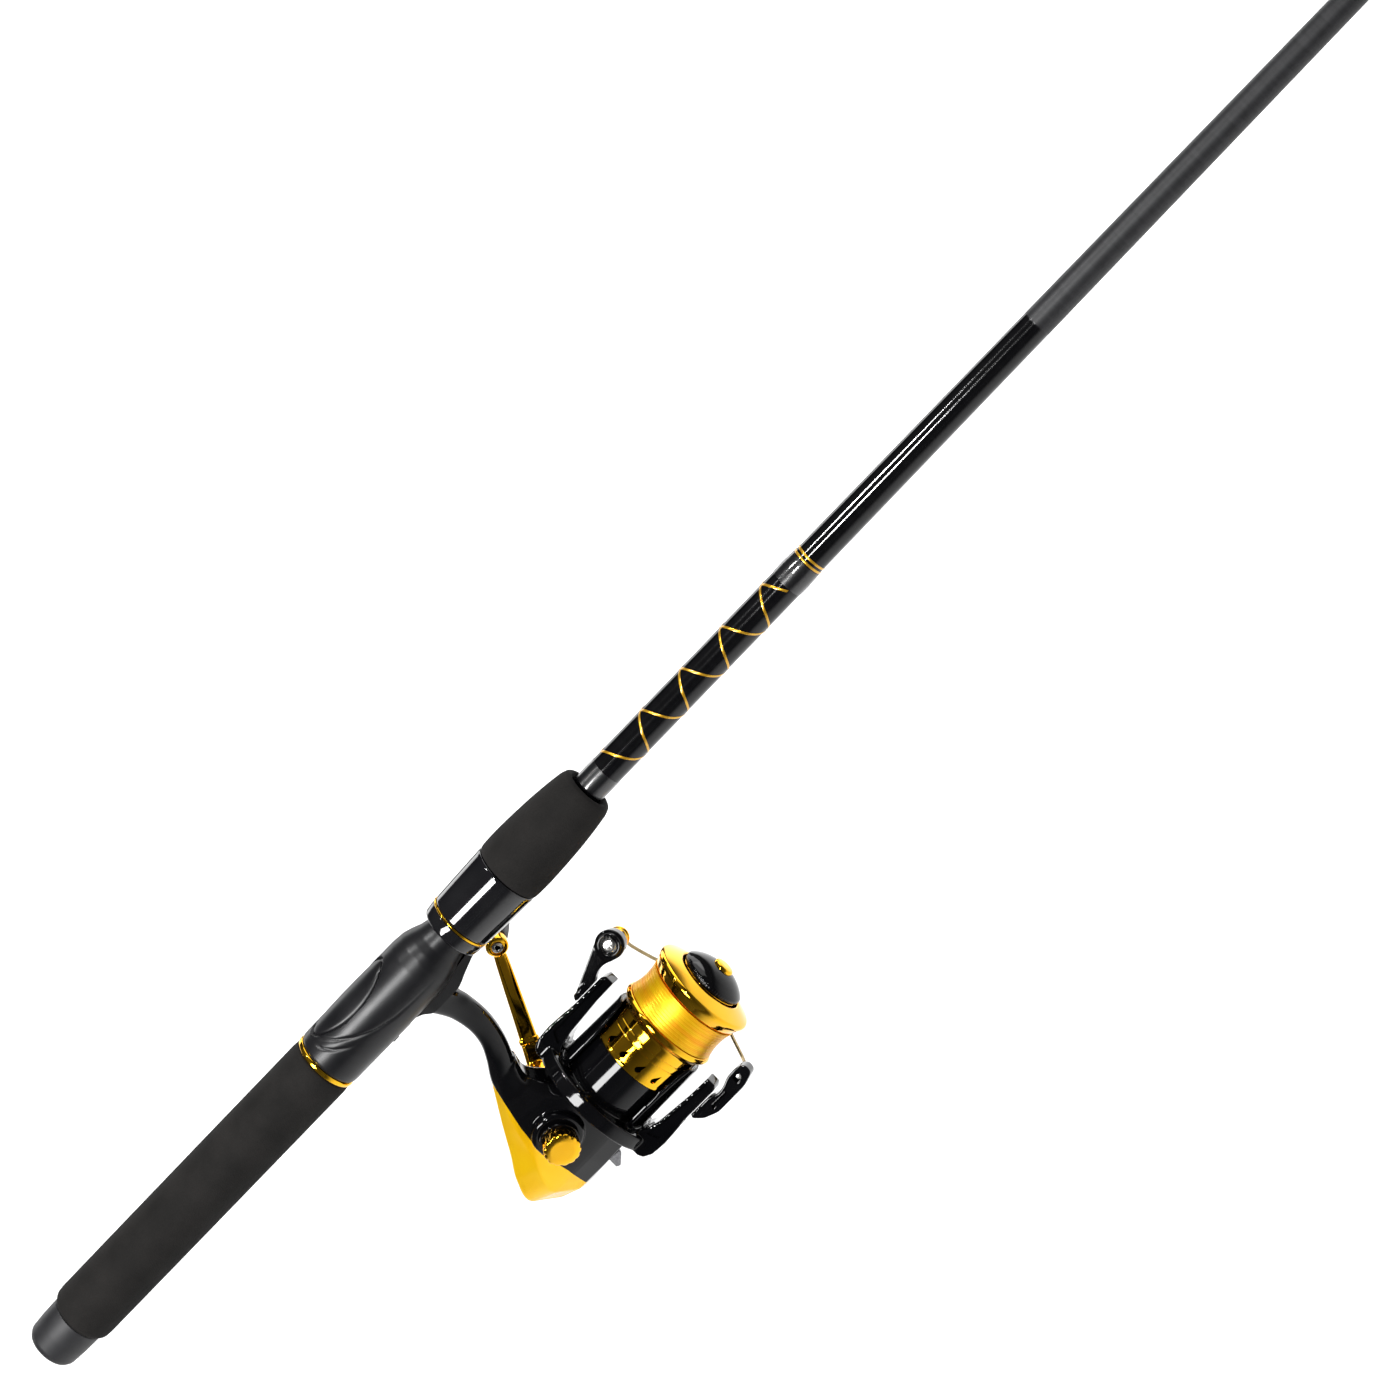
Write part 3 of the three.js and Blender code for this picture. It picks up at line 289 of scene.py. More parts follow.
def lathe(profile, count=96, ripple=None):
    """[along, radius] points turned about X. ripple(angle, along, radius) can change a radius."""
    closed = profile[0] == profile[-1]
    points = profile[:-1] if closed else profile
    verts, faces, rings = [], [], []
    for along, radius in points:
        if radius < 1e-6:
            rings.append([len(verts)])
            verts.append((along, 0.0, 0.0))
            continue
        ring = []
        for i in range(count):
            angle = 2 * math.pi * i / count
            r = ripple(angle, along, radius) if ripple else radius
            ring.append(len(verts))
            verts.append((along, r * math.cos(angle), r * math.sin(angle)))
        rings.append(ring)
    pairs = list(zip(rings, rings[1:]))
    if closed:
        pairs.append((rings[-1], rings[0]))
    for low, high in pairs:
        if len(low) > 1 and len(high) > 1:
            faces += bridged(low, high)
        elif len(high) > 1:
            faces += [(low[0], high[i], high[(i + 1) % count]) for i in range(count)]
        elif len(low) > 1:
            faces += [(low[i], low[(i + 1) % count], high[0]) for i in range(count)]
    return verts, faces


def turned(profile, ease, count=96, ripple=None, steps=4):
    """A profile with eased corners turned about X."""
    return lathe(fillet(profile, ease, steps), count, ripple)


def moved(shape, matrix):
    verts, faces = shape
    return [tuple(matrix @ Vector(v)) for v in verts], faces


def shifted(shape, x, y, z):
    return moved(shape, Matrix.Translation((x, y, z)))


def along_y(shape, x=0.0, z=0.0):
    """A shape turned about X laid along Y, through (x, 0, z)."""
    verts, faces = shape
    return [(x + p[1], p[0], z + p[2]) for p in verts], faces


def at_crank(shape):
    return along_y(shape, CRANK_X, CRANK_Z)


def at_knob(shape):
    return along_y(shape, CRANK_END.x, CRANK_END.z)


def along_v(shape, x, u):
    """A shape turned about X laid along the rotor's third axis, through (x, u)."""
    verts, faces = shape
    return [(x + p[1], u + p[2], p[0]) for p in verts], faces


def merged(*shapes):
    verts, faces = [], []
    for more_verts, more_faces in shapes:
        offset = len(verts)
        verts += list(more_verts)
        faces += [tuple(i + offset for i in face) for face in more_faces]
    return verts, faces


def curve_through(points, per_span=8):
    """Catmull-Rom points through a given route."""
    pts = [Vector(p) for p in points]
    pts = [pts[0] * 2 - pts[1]] + pts + [pts[-1] * 2 - pts[-2]]
    out = []
    for i in range(1, len(pts) - 2):
        a, b, c, d = pts[i - 1:i + 3]
        for k in range(per_span):
            t = k / per_span
            out.append(0.5 * ((2 * b) + (c - a) * t + (2 * a - 5 * b + 4 * c - d) * t * t
                              + (3 * b - a - 3 * c + d) * t ** 3))
    out.append(pts[-2])
    return out


def curve_profile(profile):
    """The outer points of a turned profile made into one smooth curve, its bore left straight."""
    outer = [Vector((p[0], p[1], 0)) for p in profile[1:-2]]
    smooth = [(p.x, p.y) for p in curve_through(outer, 6)]
    return [profile[0]] + smooth + [profile[-2], profile[0]]


def sweep(path, section, closed=False, scale=None, up=None):
    """A closed section [(side, up)] carried along the path. scale(t) widens it; up fixes its roll."""
    count = len(path)
    rings, faces, verts = [], [], []
    normal = Vector(up) if up else None
    for i, point in enumerate(path):
        ahead = path[(i + 1) % count] if closed or i < count - 1 else point
        behind = path[i - 1] if closed or i > 0 else point
        tangent = (ahead - behind).normalized()
        if normal is None:
            normal = tangent.orthogonal()
        reference = Vector(up) if up else normal
        normal = (reference - tangent * reference.dot(tangent)).normalized()
        side = tangent.cross(normal)
        sx, sy = scale(i / max(1, count - 1)) if scale else (1.0, 1.0)
        ring = []
        for p, q in section:
            ring.append(len(verts))
            verts.append(tuple(point + side * p * sx + normal * q * sy))
        rings.append(ring)
    pairs = list(zip(rings, rings[1:]))
    if closed:
        pairs.append((rings[-1], rings[0]))
    for low, high in pairs:
        faces += bridged(low, high)
    if not closed:
        faces.append(tuple(reversed(rings[0])))
        faces.append(tuple(rings[-1]))
    return verts, faces


def circle(radius, count=16, squash=1.0):
    return [(radius * math.cos(2 * math.pi * i / count),
             squash * radius * math.sin(2 * math.pi * i / count))
            for i in range(count)]


def rounded_box_section(half_width, half_height, corner, steps=4):
    w, h = half_width, half_height
    return rounded([(-w, -h), (w, -h), (w, h), (-w, h)], corner, steps)


def tube(points, radius, sides=14, per_span=8, closed=False):
    return sweep(curve_through(points, per_span), circle(radius, sides), closed)


def prism(outline, low, high, axes=(0, 2, 1)):
    """A closed outline drawn along a third axis. axes gives where outline x, outline y and depth go."""
    verts = []
    for depth in (low, high):
        for p, q in outline:
            point = [0.0, 0.0, 0.0]
            point[axes[0]], point[axes[1]], point[axes[2]] = p, q, depth
            verts.append(tuple(point))
    n = len(outline)
    faces = [tuple(range(n)), tuple(range(2 * n - 1, n - 1, -1))]
    return verts, faces + bridged(range(n), range(n, 2 * n))


def slab(outline, low, high):
    """A prism that stands along the third axis."""
    return prism(outline, low, high, axes=(0, 1, 2))


def torus(major, minor, x, z, count=64, sides=16, tilt=0.0):
    path = []
    for i in range(count):
        angle = 2 * math.pi * i / count
        path.append(Vector((x + major * math.sin(angle) * math.sin(tilt), major * math.cos(angle),
                            z + major * math.sin(angle) * math.cos(tilt))))
    return sweep(path, circle(minor, sides), closed=True)


def interpolated(rows, at):
    """Values of a table of (position, value, ...) rows at a position, by a smooth curve."""
    i = 0
    while i < len(rows) - 2 and rows[i + 1][0] < at:
        i += 1
    a = rows[max(i - 1, 0)]
    b, c = rows[i], rows[i + 1]
    d = rows[min(i + 2, len(rows) - 1)]
    t = (at - b[0]) / (c[0] - b[0])
    out = []
    for k in range(1, len(b)):
        m0 = (c[k] - a[k]) / (c[0] - a[0]) * (c[0] - b[0])
        m1 = (d[k] - b[k]) / (d[0] - b[0]) * (c[0] - b[0])
        t2, t3 = t * t, t ** 3
        out.append((2 * t3 - 3 * t2 + 1) * b[k] + (t3 - 2 * t2 + t) * m0
                   + (-2 * t3 + 3 * t2) * c[k] + (t3 - t2) * m1)
    return out


def straight_between(rows, at):
    """Values of a table of (position, value, ...) rows at a position, by straight lines."""
    for low, high in zip(rows, rows[1:]):
        if at <= high[0]:
            t = (at - low[0]) / (high[0] - low[0])
            return [a + (b - a) * t for a, b in zip(low[1:], high[1:])]
    return list(rows[-1][1:])


def stacked(rows, levels, section):
    """Sections (z, x, half_length, half_width) laid level on each other; section is a unit outline."""
    verts, faces, rings = [], [], []
    for level in range(levels + 1):
        z = rows[0][0] + (rows[-1][0] - rows[0][0]) * level / levels
        x, a, b = straight_between(rows, z) if z < FACET_Z else interpolated(rows, z)
        ring = []
        for p, q in section:
            ring.append(len(verts))
            verts.append((x + a * p, b * q, z))
        rings.append(ring)
    for low, high in zip(rings, rings[1:]):
        faces += bridged(low, high)
    faces.append(tuple(reversed(rings[0])))
    faces.append(tuple(rings[-1]))
    return verts, faces


# ---------- turning shapes into pieces ----------
def to_object(name, shape, crease=38.0):
    verts, faces = shape
    mesh = bpy.data.meshes.new(name)
    mesh.from_pydata([Vector(v) * MM for v in verts], [], faces)
    work = bmesh.new()
    work.from_mesh(mesh)
    bmesh.ops.remove_doubles(work, verts=work.verts, dist=1e-7)
    bmesh.ops.recalc_face_normals(work, faces=work.faces)
    work.to_mesh(mesh)
    work.free()
    thing = bpy.data.objects.new(name, mesh)
    bpy.context.scene.collection.objects.link(thing)
    soften(thing, crease)
    return thing


def soften(thing, crease):
    thing.data.shade_smooth()
    thing.data.set_sharp_from_angle(angle=math.radians(crease))


def baked(thing, crease=38.0):
    """The object with its modifiers made part of its mesh."""
    graph = bpy.context.evaluated_depsgraph_get()
    graph.update()
    mesh = bpy.data.meshes.new_from_object(thing.evaluated_get(graph))
    old = thing.data
    thing.modifiers.clear()
    thing.data = mesh
    bpy.data.meshes.remove(old)
    soften(thing, crease)
    return thing


def fused(name, shapes, voxel, passes, crease=60.0):
    """Closed shapes grown into one skin, with every edge eased."""
    thing = to_object(name, merged(*shapes))
    remesh = thing.modifiers.new("skin", "REMESH")
    remesh.mode = "VOXEL"
    remesh.voxel_size = voxel * MM
    ease = thing.modifiers.new("ease", "SMOOTH")
    ease.factor = 0.5
    ease.iterations = passes
    return baked(thing, crease)


def carve(thing, shapes, keep=False, crease=38.0):
    """Cuts the shapes out of the piece, or with keep leaves only what lies inside them."""
    cutters = []
    for i, shape in enumerate(shapes):
        cutter = to_object(f"cutter_{i}", shape)
        cutters.append(cutter)
        step = thing.modifiers.new(f"cut_{i}", "BOOLEAN")
        step.operation = "INTERSECT" if keep else "DIFFERENCE"
        step.solver = "MANIFOLD"
        step.object = cutter
    baked(thing, crease)
    for cutter in cutters:
        bpy.data.objects.remove(cutter)
    return thing


def scaled(matrix):
    """A millimetre placement as one in metres."""
    out = matrix.copy()
    out.translation *= MM
    return out


def shape_of(thing):
    """The piece's mesh as a shape in millimetres; the piece itself goes."""
    shape = ([tuple(v.co / MM) for v in thing.data.vertices],
             [tuple(f.vertices) for f in thing.data.polygons])
    bpy.data.objects.remove(thing)
    return shape


def copy_of(thing, name):
    twin = bpy.data.objects.new(name, thing.data.copy())
    bpy.context.scene.collection.objects.link(twin)
    return twin


def finish_piece(thing, material, body, slot, *nodes):
    thing.data.materials.clear()
    thing.data.materials.append(material)
    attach(thing, body)
    if nodes:
        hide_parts(*nodes)
    return thing


def piece(name, shape, material, body, slot, *nodes, crease=38.0):
    return finish_piece(to_object(name, shape, crease), material, body, slot, *nodes)


# ---------- the rod's handle ----------
def blank_radius(x):
    return straight_between(BLANK, x)[0]


def make_grips():
    bore = BLANK_BORE
    cap = [(0, 0), (0, 7.2), (0.5, 8.6), (1.6, 10.7), (4, 12.1), (12, 12.7), (22, 12.9), (22, 11.6),
           (34, 11.6), (34, bore), (7, bore), (7, 0)]
    piece("butt_cap_moulding", turned(cap, 0.8), RUBBER, "rod", "soft_rubber", "butt_cap")
    rear = [(22.3, 13.0), (24.6, 14.6), (28.3, 14.9), (70, 14.95), (120, 14.95), (186.5, 14.9),
            (189.7, 14.5), (189.7, bore), (34.3, bore), (34.3, 12), (22.3, 12), (22.3, 13.0)]
    grip = piece("rear_foam_grip", turned(rear, 1.0, 128), FOAM, "rod", "eva_foam", "rear_grip")
    fore = [(310.1, 10.7), (310.1, 15.5), (312, 15.95), (320, 16.1), (331, 15.7), (341, 15.1),
            (350, 14.2), (358, 13.1), (361, 12), (362, 10.2), (360.6, 8.3), (358, bore), (327, bore),
            (327, 10.7), (310.1, 10.7)]
    grip = piece("front_foam_grip", turned(fore, 1.0, 128), FOAM, "grip_nut", "eva_foam", "foregrip")
    ring = [(190.0, bore), (190.0, 14.5), (190.6, 14.95), (191.8, 14.95), (192.4, 14.5), (192.4, bore),
            (190.0, bore)]
    piece("rear_gold_ring", turned(ring, 0.3), GOLD, "rod", "gold_plate", "rear_trim_ring")


PAD_X, PAD_HALF_X, PAD_HALF_Y = 222.0, 22.0, 9.6
PAD_BED_REACH, PAD_BED_DEPTH = 1.07, 1.15
SEAT_REAR, SEAT_FRONT, SEAT_STEP = 192.7, 326.0, 0.55
SEAT_OUTER = [(SEAT_REAR, 14.3), (193.6, 14.85), (196, 15.0), (230, 15.15), (252, 15.0), (258, 14.4),
              (262, 13.2), (266, 11.6), (270, 10.7), (272, 10.4), (SEAT_FRONT, 10.4)]
# Centre lines of the grooves moulded in the seat: (x, degrees above the near side).
CRESCENTS = [
    [(199.6, 92), (200.2, 78), (202.6, 60), (206.4, 42), (213.4, 22.5), (222.0, 6), (232.4, -5),
     (243.0, -8.6), (256.0, -9.8)],
    [(198.4, 62), (199.6, 48), (203.0, 32), (207.6, 19), (213.0, 8)],
]


def pad_reach(x, y):
    """1 on the thumb pad's rim, less inside it."""
    return math.hypot((x - PAD_X) / PAD_HALF_X, y / PAD_HALF_Y)


def groove_depth(x, degrees):
    """How deep the seat is cut by its moulded lines at a point of its skin."""
    depth = 0.0
    for line, (width, deepest) in zip(CRESCENTS, ((1.0, 0.6), (0.9, 0.5))):
        best = 9e9
        where = 0.0
        for i, ((x0, d0), (x1, d1)) in enumerate(zip(line, line[1:])):
            scale = math.radians(1) * SEAT_R
            ax, ay, bx, by = x0, d0 * scale, x1, d1 * scale
            px, py = x, degrees * scale
            length2 = (bx - ax) ** 2 + (by - ay) ** 2
            t = max(0.0, min(1.0, ((px - ax) * (bx - ax) + (py - ay) * (by - ay)) / length2))
            gap = math.hypot(px - ax - t * (bx - ax), py - ay - t * (by - ay))
            if gap < best:
                best = gap
                where = (i + t) / (len(line) - 1)
        fade = min(1.0, where * 6 + 0.15, (1 - where) * 3 + 0.12)
        depth = max(depth, deepest * fade * math.exp(-(best / width * 1.7) ** 2))
    return depth


def make_seat():
    """The seat's skin is a fine grid, so that its grooves and the pad's bed are real shape."""
    fine = int((272 - SEAT_REAR) / SEAT_STEP)
    steps_x = [SEAT_REAR + SEAT_STEP * i for i in range(fine)] + [272, 290, 310, 325.4, SEAT_FRONT]
    around = 168
    verts, faces = [], []
    for x in steps_x:
        for i in range(around):
            degrees = 360.0 * i / around
            angle = math.radians(degrees)
            radius = straight_between(SEAT_OUTER, x)[0]
            y = -radius * math.cos(angle)
            top = math.sin(angle) > 0
            near = degrees if degrees < 180 else degrees - 360
            if top and pad_reach(x, y) < PAD_BED_REACH:
                radius -= PAD_BED_DEPTH
            elif x < 262:
                mirrored = near if math.cos(angle) >= 0 else (180 - near if near > 0 else -180 - near)
                radius -= groove_depth(x, mirrored)
            verts.append((x, -radius * math.cos(angle), radius * math.sin(angle)))
    rows = len(steps_x)
    for row in range(rows - 1):
        a = row * around
        faces += bridged(range(a, a + around), range(a + around, a + 2 * around))
    inner = len(verts)
    for x in (SEAT_FRONT, SEAT_REAR):
        for i in range(around):
            angle = 2 * math.pi * i / around
            verts.append((x, -BLANK_BORE * math.cos(angle), BLANK_BORE * math.sin(angle)))
    last = (rows - 1) * around
    for i in range(around):
        j = (i + 1) % around
        faces.append((last + i, last + j, inner + j, inner + i))
        faces.append((inner + i, inner + j, inner + around + j, inner + around + i))
        faces.append((inner + around + i, inner + around + j, j, i))
    seat = to_object("seat_moulding", (verts, faces), 50.0)
    pocket = prism(rounded_box_section(6.6, 1.7, 0.8), 214.5, 271, axes=(1, 2, 0))
    pocket = shifted(pocket, 0, 0, -11.4)
    bay = slab(rounded([(231, -9.4), (271, -9.4), (271, 9.4), (231, 9.4), (226, 0)], 2.5), -20, -9.7)
    carve(seat, [pocket, bay], crease=50.0)
    finish_piece(seat, SATIN, "rod", "satin_black", "reel_seat")

    rings, spokes = 22, 96
    verts, faces = [], []
    for level in range(rings + 1):
        reach = level / rings
        for i in range(spokes):
            angle = 2 * math.pi * i / spokes
            x = PAD_X + PAD_HALF_X * reach * math.cos(angle)
            y = PAD_HALF_Y * reach * math.sin(angle)
            crown = 0.75 * (1 - reach ** 6) ** 0.5 if reach < 1 else 0.0
            verts.append((x, y, math.sqrt((SEAT_R - 0.35 + crown) ** 2 - y * y)))
    for level in range(rings):
        a = level * spokes
        faces += bridged(range(a, a + spokes), range(a + spokes, a + 2 * spokes))
    rim = rings * spokes
    base = len(verts)
    for i in range(spokes):
        x, y, _ = verts[rim + i]
        verts.append((x, y, math.sqrt((SEAT_R - 0.9) ** 2 - y * y)))
    faces += bridged(range(rim, base), range(base, base + spokes))
    faces.append(tuple(range(base, base + spokes)))
    piece("thumb_pad_oval", (verts, faces), SATIN, "rod", "soft_rubber", "thumb_pad", crease=50.0)
    nub = fused("seat_nub", [prism(rounded_box_section(2.2, 1.5, 0.9), 216.6, 220.0, axes=(1, 2, 0))],
                0.25, 3)
    nub.data.transform(Matrix.Translation((0, 0, -15.4 * MM)))
    finish_piece(nub, SATIN, "rod", "satin_black")


def make_hood():
    hood = [(272.5, 10.7), (272.5, 13.3), (273.4, 14.1), (276.5, 14.5), (278.9, 14.6), (278.9, 14.1),
            (274, 13.7), (274, 10.7), (272.5, 10.7)]
    thing = to_object("hood_moulding", turned(hood, 0.5))
    slot = prism(rounded_box_section(6.4, 2.05, 0.8), 271.5, 275.5, axes=(1, 2, 0))
    carve(thing, [shifted(slot, 0, 0, -11.05)])
    finish_piece(thing, SLEEVE, "hood", "satin_black", "sliding_hood")
    ring = [(279.2, 13.95), (279.2, 14.75), (279.7, 14.95), (280.2, 14.75), (280.2, 13.95),
            (279.2, 13.95)]
    piece("hood_gold_ring", turned(ring, 0.2), GOLD, "hood", "gold_plate", "hood_trim_ring")
    sleeve = [(280.5, 13.9), (280.5, 14.5), (281.2, 14.8), (296, 15.35), (308.8, 15.75), (309.8, 15.4),
              (309.8, 10.7), (287, 10.7), (287, 13.9), (280.5, 13.9)]
    piece("lock_sleeve_barrel", turned(sleeve, 0.5, 128), SLEEVE, "grip_nut", "satin_black",
          "lock_sleeve")


# ---------- blank, whippings and guides ----------
def whipping(x0, x1, material, name, lift, drop=0.0, extra=0.0):
    """A varnished band of thread, thicker in the middle than at its ends."""
    steps = 10
    outer = []
    for i in range(steps + 1):
        t = i / steps
        x = x0 + (x1 - x0) * t
        swell = math.sin(math.pi * min(1.0, max(0.0, t * 0.9 + 0.05))) ** 0.35
        outer.append((x, blank_radius(x) + extra + lift * swell))
    inner = [(x1, blank_radius(x1) - 0.05), (x0, blank_radius(x0) - 0.05)]
    ring = shifted(lathe(outer + inner + [outer[0]], 48), 0, 0, -drop)
    return piece(name, ring, material, "rod", "blank_black")


WRAP_START, WRAP_END, WRAP_PITCH = 377.6, 483.7, 24.8
WRAP_WIDTH, WRAP_LIFT = 1.15, 0.16


def helix_ribbon(phase, hand):
    """A flat thread wound round the blank at a wide pitch."""
    verts, faces = [], []
    steps = int((WRAP_END - WRAP_START) / WRAP_PITCH * 72)
    for i in range(steps + 1):
        x = WRAP_START + (WRAP_END - WRAP_START) * i / steps
        angle = hand * 2 * math.pi * (x - WRAP_START) / WRAP_PITCH + phase
        for dx, dr in ((-0.5, -0.08), (-0.5, WRAP_LIFT * 0.5), (-0.22, WRAP_LIFT), (0.22, WRAP_LIFT),
                       (0.5, WRAP_LIFT * 0.5), (0.5, -0.08)):
            radius = blank_radius(x) + dr
            verts.append((x + dx * WRAP_WIDTH, -radius * math.cos(angle), radius * math.sin(angle)))
    n = 6
    for a in range(0, steps * n, n):
        faces += bridged(range(a, a + n), range(a + n, a + 2 * n))
    faces.append(tuple(range(n)))
    faces.append(tuple(range(steps * n, steps * n + n)))
    return verts, faces


def make_blank_pieces():
    wall = 1.6
    xs = [8, 200, 490, 500, 633, 720, 830, 950, 1070]
    outer = [(x, blank_radius(x)) for x in xs]
    inner = [(x, blank_radius(x) - wall) for x in reversed(xs)]
    piece("butt_tube", lathe(outer + inner + [outer[0]], 72), BLANK_SKIN, "rod", "blank_black",
          "blank_butt_section")
    tip_start, sleeve_end = 1010, 1078
    taper_start, tip_end = sleeve_end + 14, 2128
    outer = [(tip_start, 6.6), (tip_start + 1, 6.9), (sleeve_end - 6, 6.3),
             (taper_start, blank_radius(taper_start)), (1500, 3.3), (1900, 2.0),
             (tip_end, blank_radius(tip_end))]
    inner = [(tip_end, 0.5), (1900, 0.9), (1500, 1.9), (taper_start, 3.4), (1072, 5.3), (tip_start, 5.5)]
    piece("tip_tube", lathe(outer + inner + [outer[0]], 64), BLANK_SKIN, "rod", "blank_grey",
          "blank_tip_section")

    strands = [helix_ribbon(math.radians(start), hand) for hand, start in ((1, 102), (-1, 108))]
    piece("diamond_wrap", merged(*strands), GOLD_THREAD, "rod", "gold_plate")
    whipping(362.5, 373.0, BLACK_THREAD, "whipping_foregrip", 0.2)
    whipping(484.5, 496.6, BLACK_THREAD, "whipping_collar", 0.3)
    for i, (x0, x1) in enumerate(((497.0, 498.0), (499.2, 500.2))):
        whipping(x0, x1, GOLD_THREAD, f"gold_band_{i}", 0.25)
    whipping(1004, 1016, BLACK_THREAD, "whipping_ferrule_rear", 0.3, 0.0, 0.9)


def make_guide(index, x, drop, ring, foot):
    wire = max(0.8, ring * 0.085)

    def seat_z(at):
        return -(blank_radius(at) + wire * 0.75 + 0.15)

    def flare(t):
        opened = min(1, t * 3)
        return 0.35 + 0.65 * opened, 0.5 + 0.5 * opened

    strap = circle(wire * 1.5, 14, 0.5)
    loop = torus(ring - wire, wire * 1.1, x, -drop, 72, 14)
    back = sweep(curve_through([(x - foot, 0, seat_z(x - foot) + 0.1),
                                (x - foot * 0.75, 0, seat_z(x - foot)),
                                (x - foot * 0.45, 0, seat_z(x) - wire)], 8),
                 strap, scale=flare, up=(0, 0, 1))
    front = sweep(curve_through([(x + foot, 0, seat_z(x) + 0.1), (x + foot * 0.72, 0, seat_z(x)),
                                 (x + foot * 0.45, 0, seat_z(x) - wire * 2),
                                 (x + wire * 0.4, 0, -drop + ring - wire)], 8),
                  strap, scale=flare, up=(0, 0, 1))
    legs = []
    for side in (1, -1):
        legs.append(tube([(x - foot * 0.5, side * wire * 0.4, seat_z(x) - wire * 0.8),
                          (x - foot * 0.22, side * ring * 0.55, (seat_z(x) - drop) / 2),
                          (x, side * (ring - wire), -drop)], wire * 0.9, 12))
    name = f"guide_{index}"
    piece(f"{name}_frame", merged(loop, back, front, *legs), STEEL, "rod", "steel", name)
    inner = ring - 2 * wire - 0.05
    liner = [(x - wire * 1.3, inner + 0.35), (x - wire * 0.9, inner - 0.1), (x, inner - 0.25),
             (x + wire * 0.9, inner - 0.1), (x + wire * 1.3, inner + 0.35),
             (x + wire * 0.9, inner + wire * 0.6), (x - wire * 0.9, inner + wire * 0.6),
             (x - wire * 1.3, inner + 0.35)]
    liner = shifted(turned(liner, 0.3, 72), 0, 0, -drop)
    piece(f"{name}_ceramic", liner, CERAMIC, "rod", "gloss_black")
    for end, (x0, x1) in (("rear", (x - foot + 3, x - foot * 0.52)),
                          ("front", (x + foot * 0.5, x + foot - 3))):
        whipping(x0, x1, BLACK_THREAD, f"{name}_whipping_{end}", 0.3, wire * 0.55, wire * 0.75)
        for side, at in (("a", x0), ("b", x1)):
            whipping(at - 0.9, at + 0.9, GOLD_THREAD, f"{name}_band_{end}_{side}", 0.36, wire * 0.55,
                     wire * 0.75)


def make_tip_top():
    sleeve = turned([(2120, 1.75), (2120, 2.3), (2120.6, 2.5), (2135.4, 2.5), (2136, 2.3), (2136, 1.75),
                     (2120, 1.75)], 0.3, 40)
    ring = torus(4.6, 0.85, 2138, -7.4, 48, 12, -0.3)
    legs = [tube([(2125, s * 1.0, -2.4), (2131, s * 3.4, -4.4), (2137.4, s * 4.6, -7.0)], 0.65, 10)
            for s in (1, -1)]
    neck = tube([(2134, 0, -1.9), (2136, 0, -2.5), (2138.8, 0, -3.1)], 0.9, 12)
    piece("tip_top_frame", merged(sleeve, ring, neck, *legs), STEEL, "rod", "steel", "tip_top")


# ---------- reel housing ----------
HOUSING = [(-138, 213, 9, 4), (-134, 223.5, 26.5, 9), (-123.5, 220.9, 33.1, 12.8),
           (-110, 224.5, 31.5, 14), (-99, 227.7, 26.3, 13.6), (-87, 226.5, 16.6, 11.6),
           (-76, 228.2, 10.1, 8.6), (-66, 233.6, 7.9, 6.4)]
STEM = [(-74, 229.4, 8.2, 6.8), (-66, 233.2, 7.8, 6.4), (-57, 239.2, 6.8, 5.4), (-49, 243.4, 6, 5),
        (-40, 246, 5.9, 4.8), (-29, 246.6, 6.4, 5), (-21, 245.6, 7.6, 6), (-14.5, 247, 12, 7.4)]
FACET_Z = -122.5                # below this the tail is cut by flat facets
FRONT_SIDE = [(227, -62), (223, -76), (219, -88), (216.6, -98), (215.2, -108), (215, -120), (213, -132),
              (211.8, -142), (250, -142), (250, -62)]


def facet_section():
    """Unit outline of the housing: narrow flat tail, a creased cheek, nearly flat sides."""
    half = [(-1.0, 0.34), (-0.58, 0.98), (0.10, 1.0), (0.74, 0.92), (1.0, 0.55)]
    outline = half + [(p, -q) for p, q in reversed(half)]
    return rounded(outline, 0.05, 3)


def oval_section():
    """Unit outline of the stem: an oval a little squarer than an ellipse."""
    power = 2 / 2.4
    return [(math.copysign(abs(c) ** power, c), math.copysign(abs(s) ** power, s))
            for c, s in circle(1.0, 48)]


def grown(rows, by_a, by_b):
    return [(z, x, a + by_a, b + by_b) for z, x, a, b in rows]


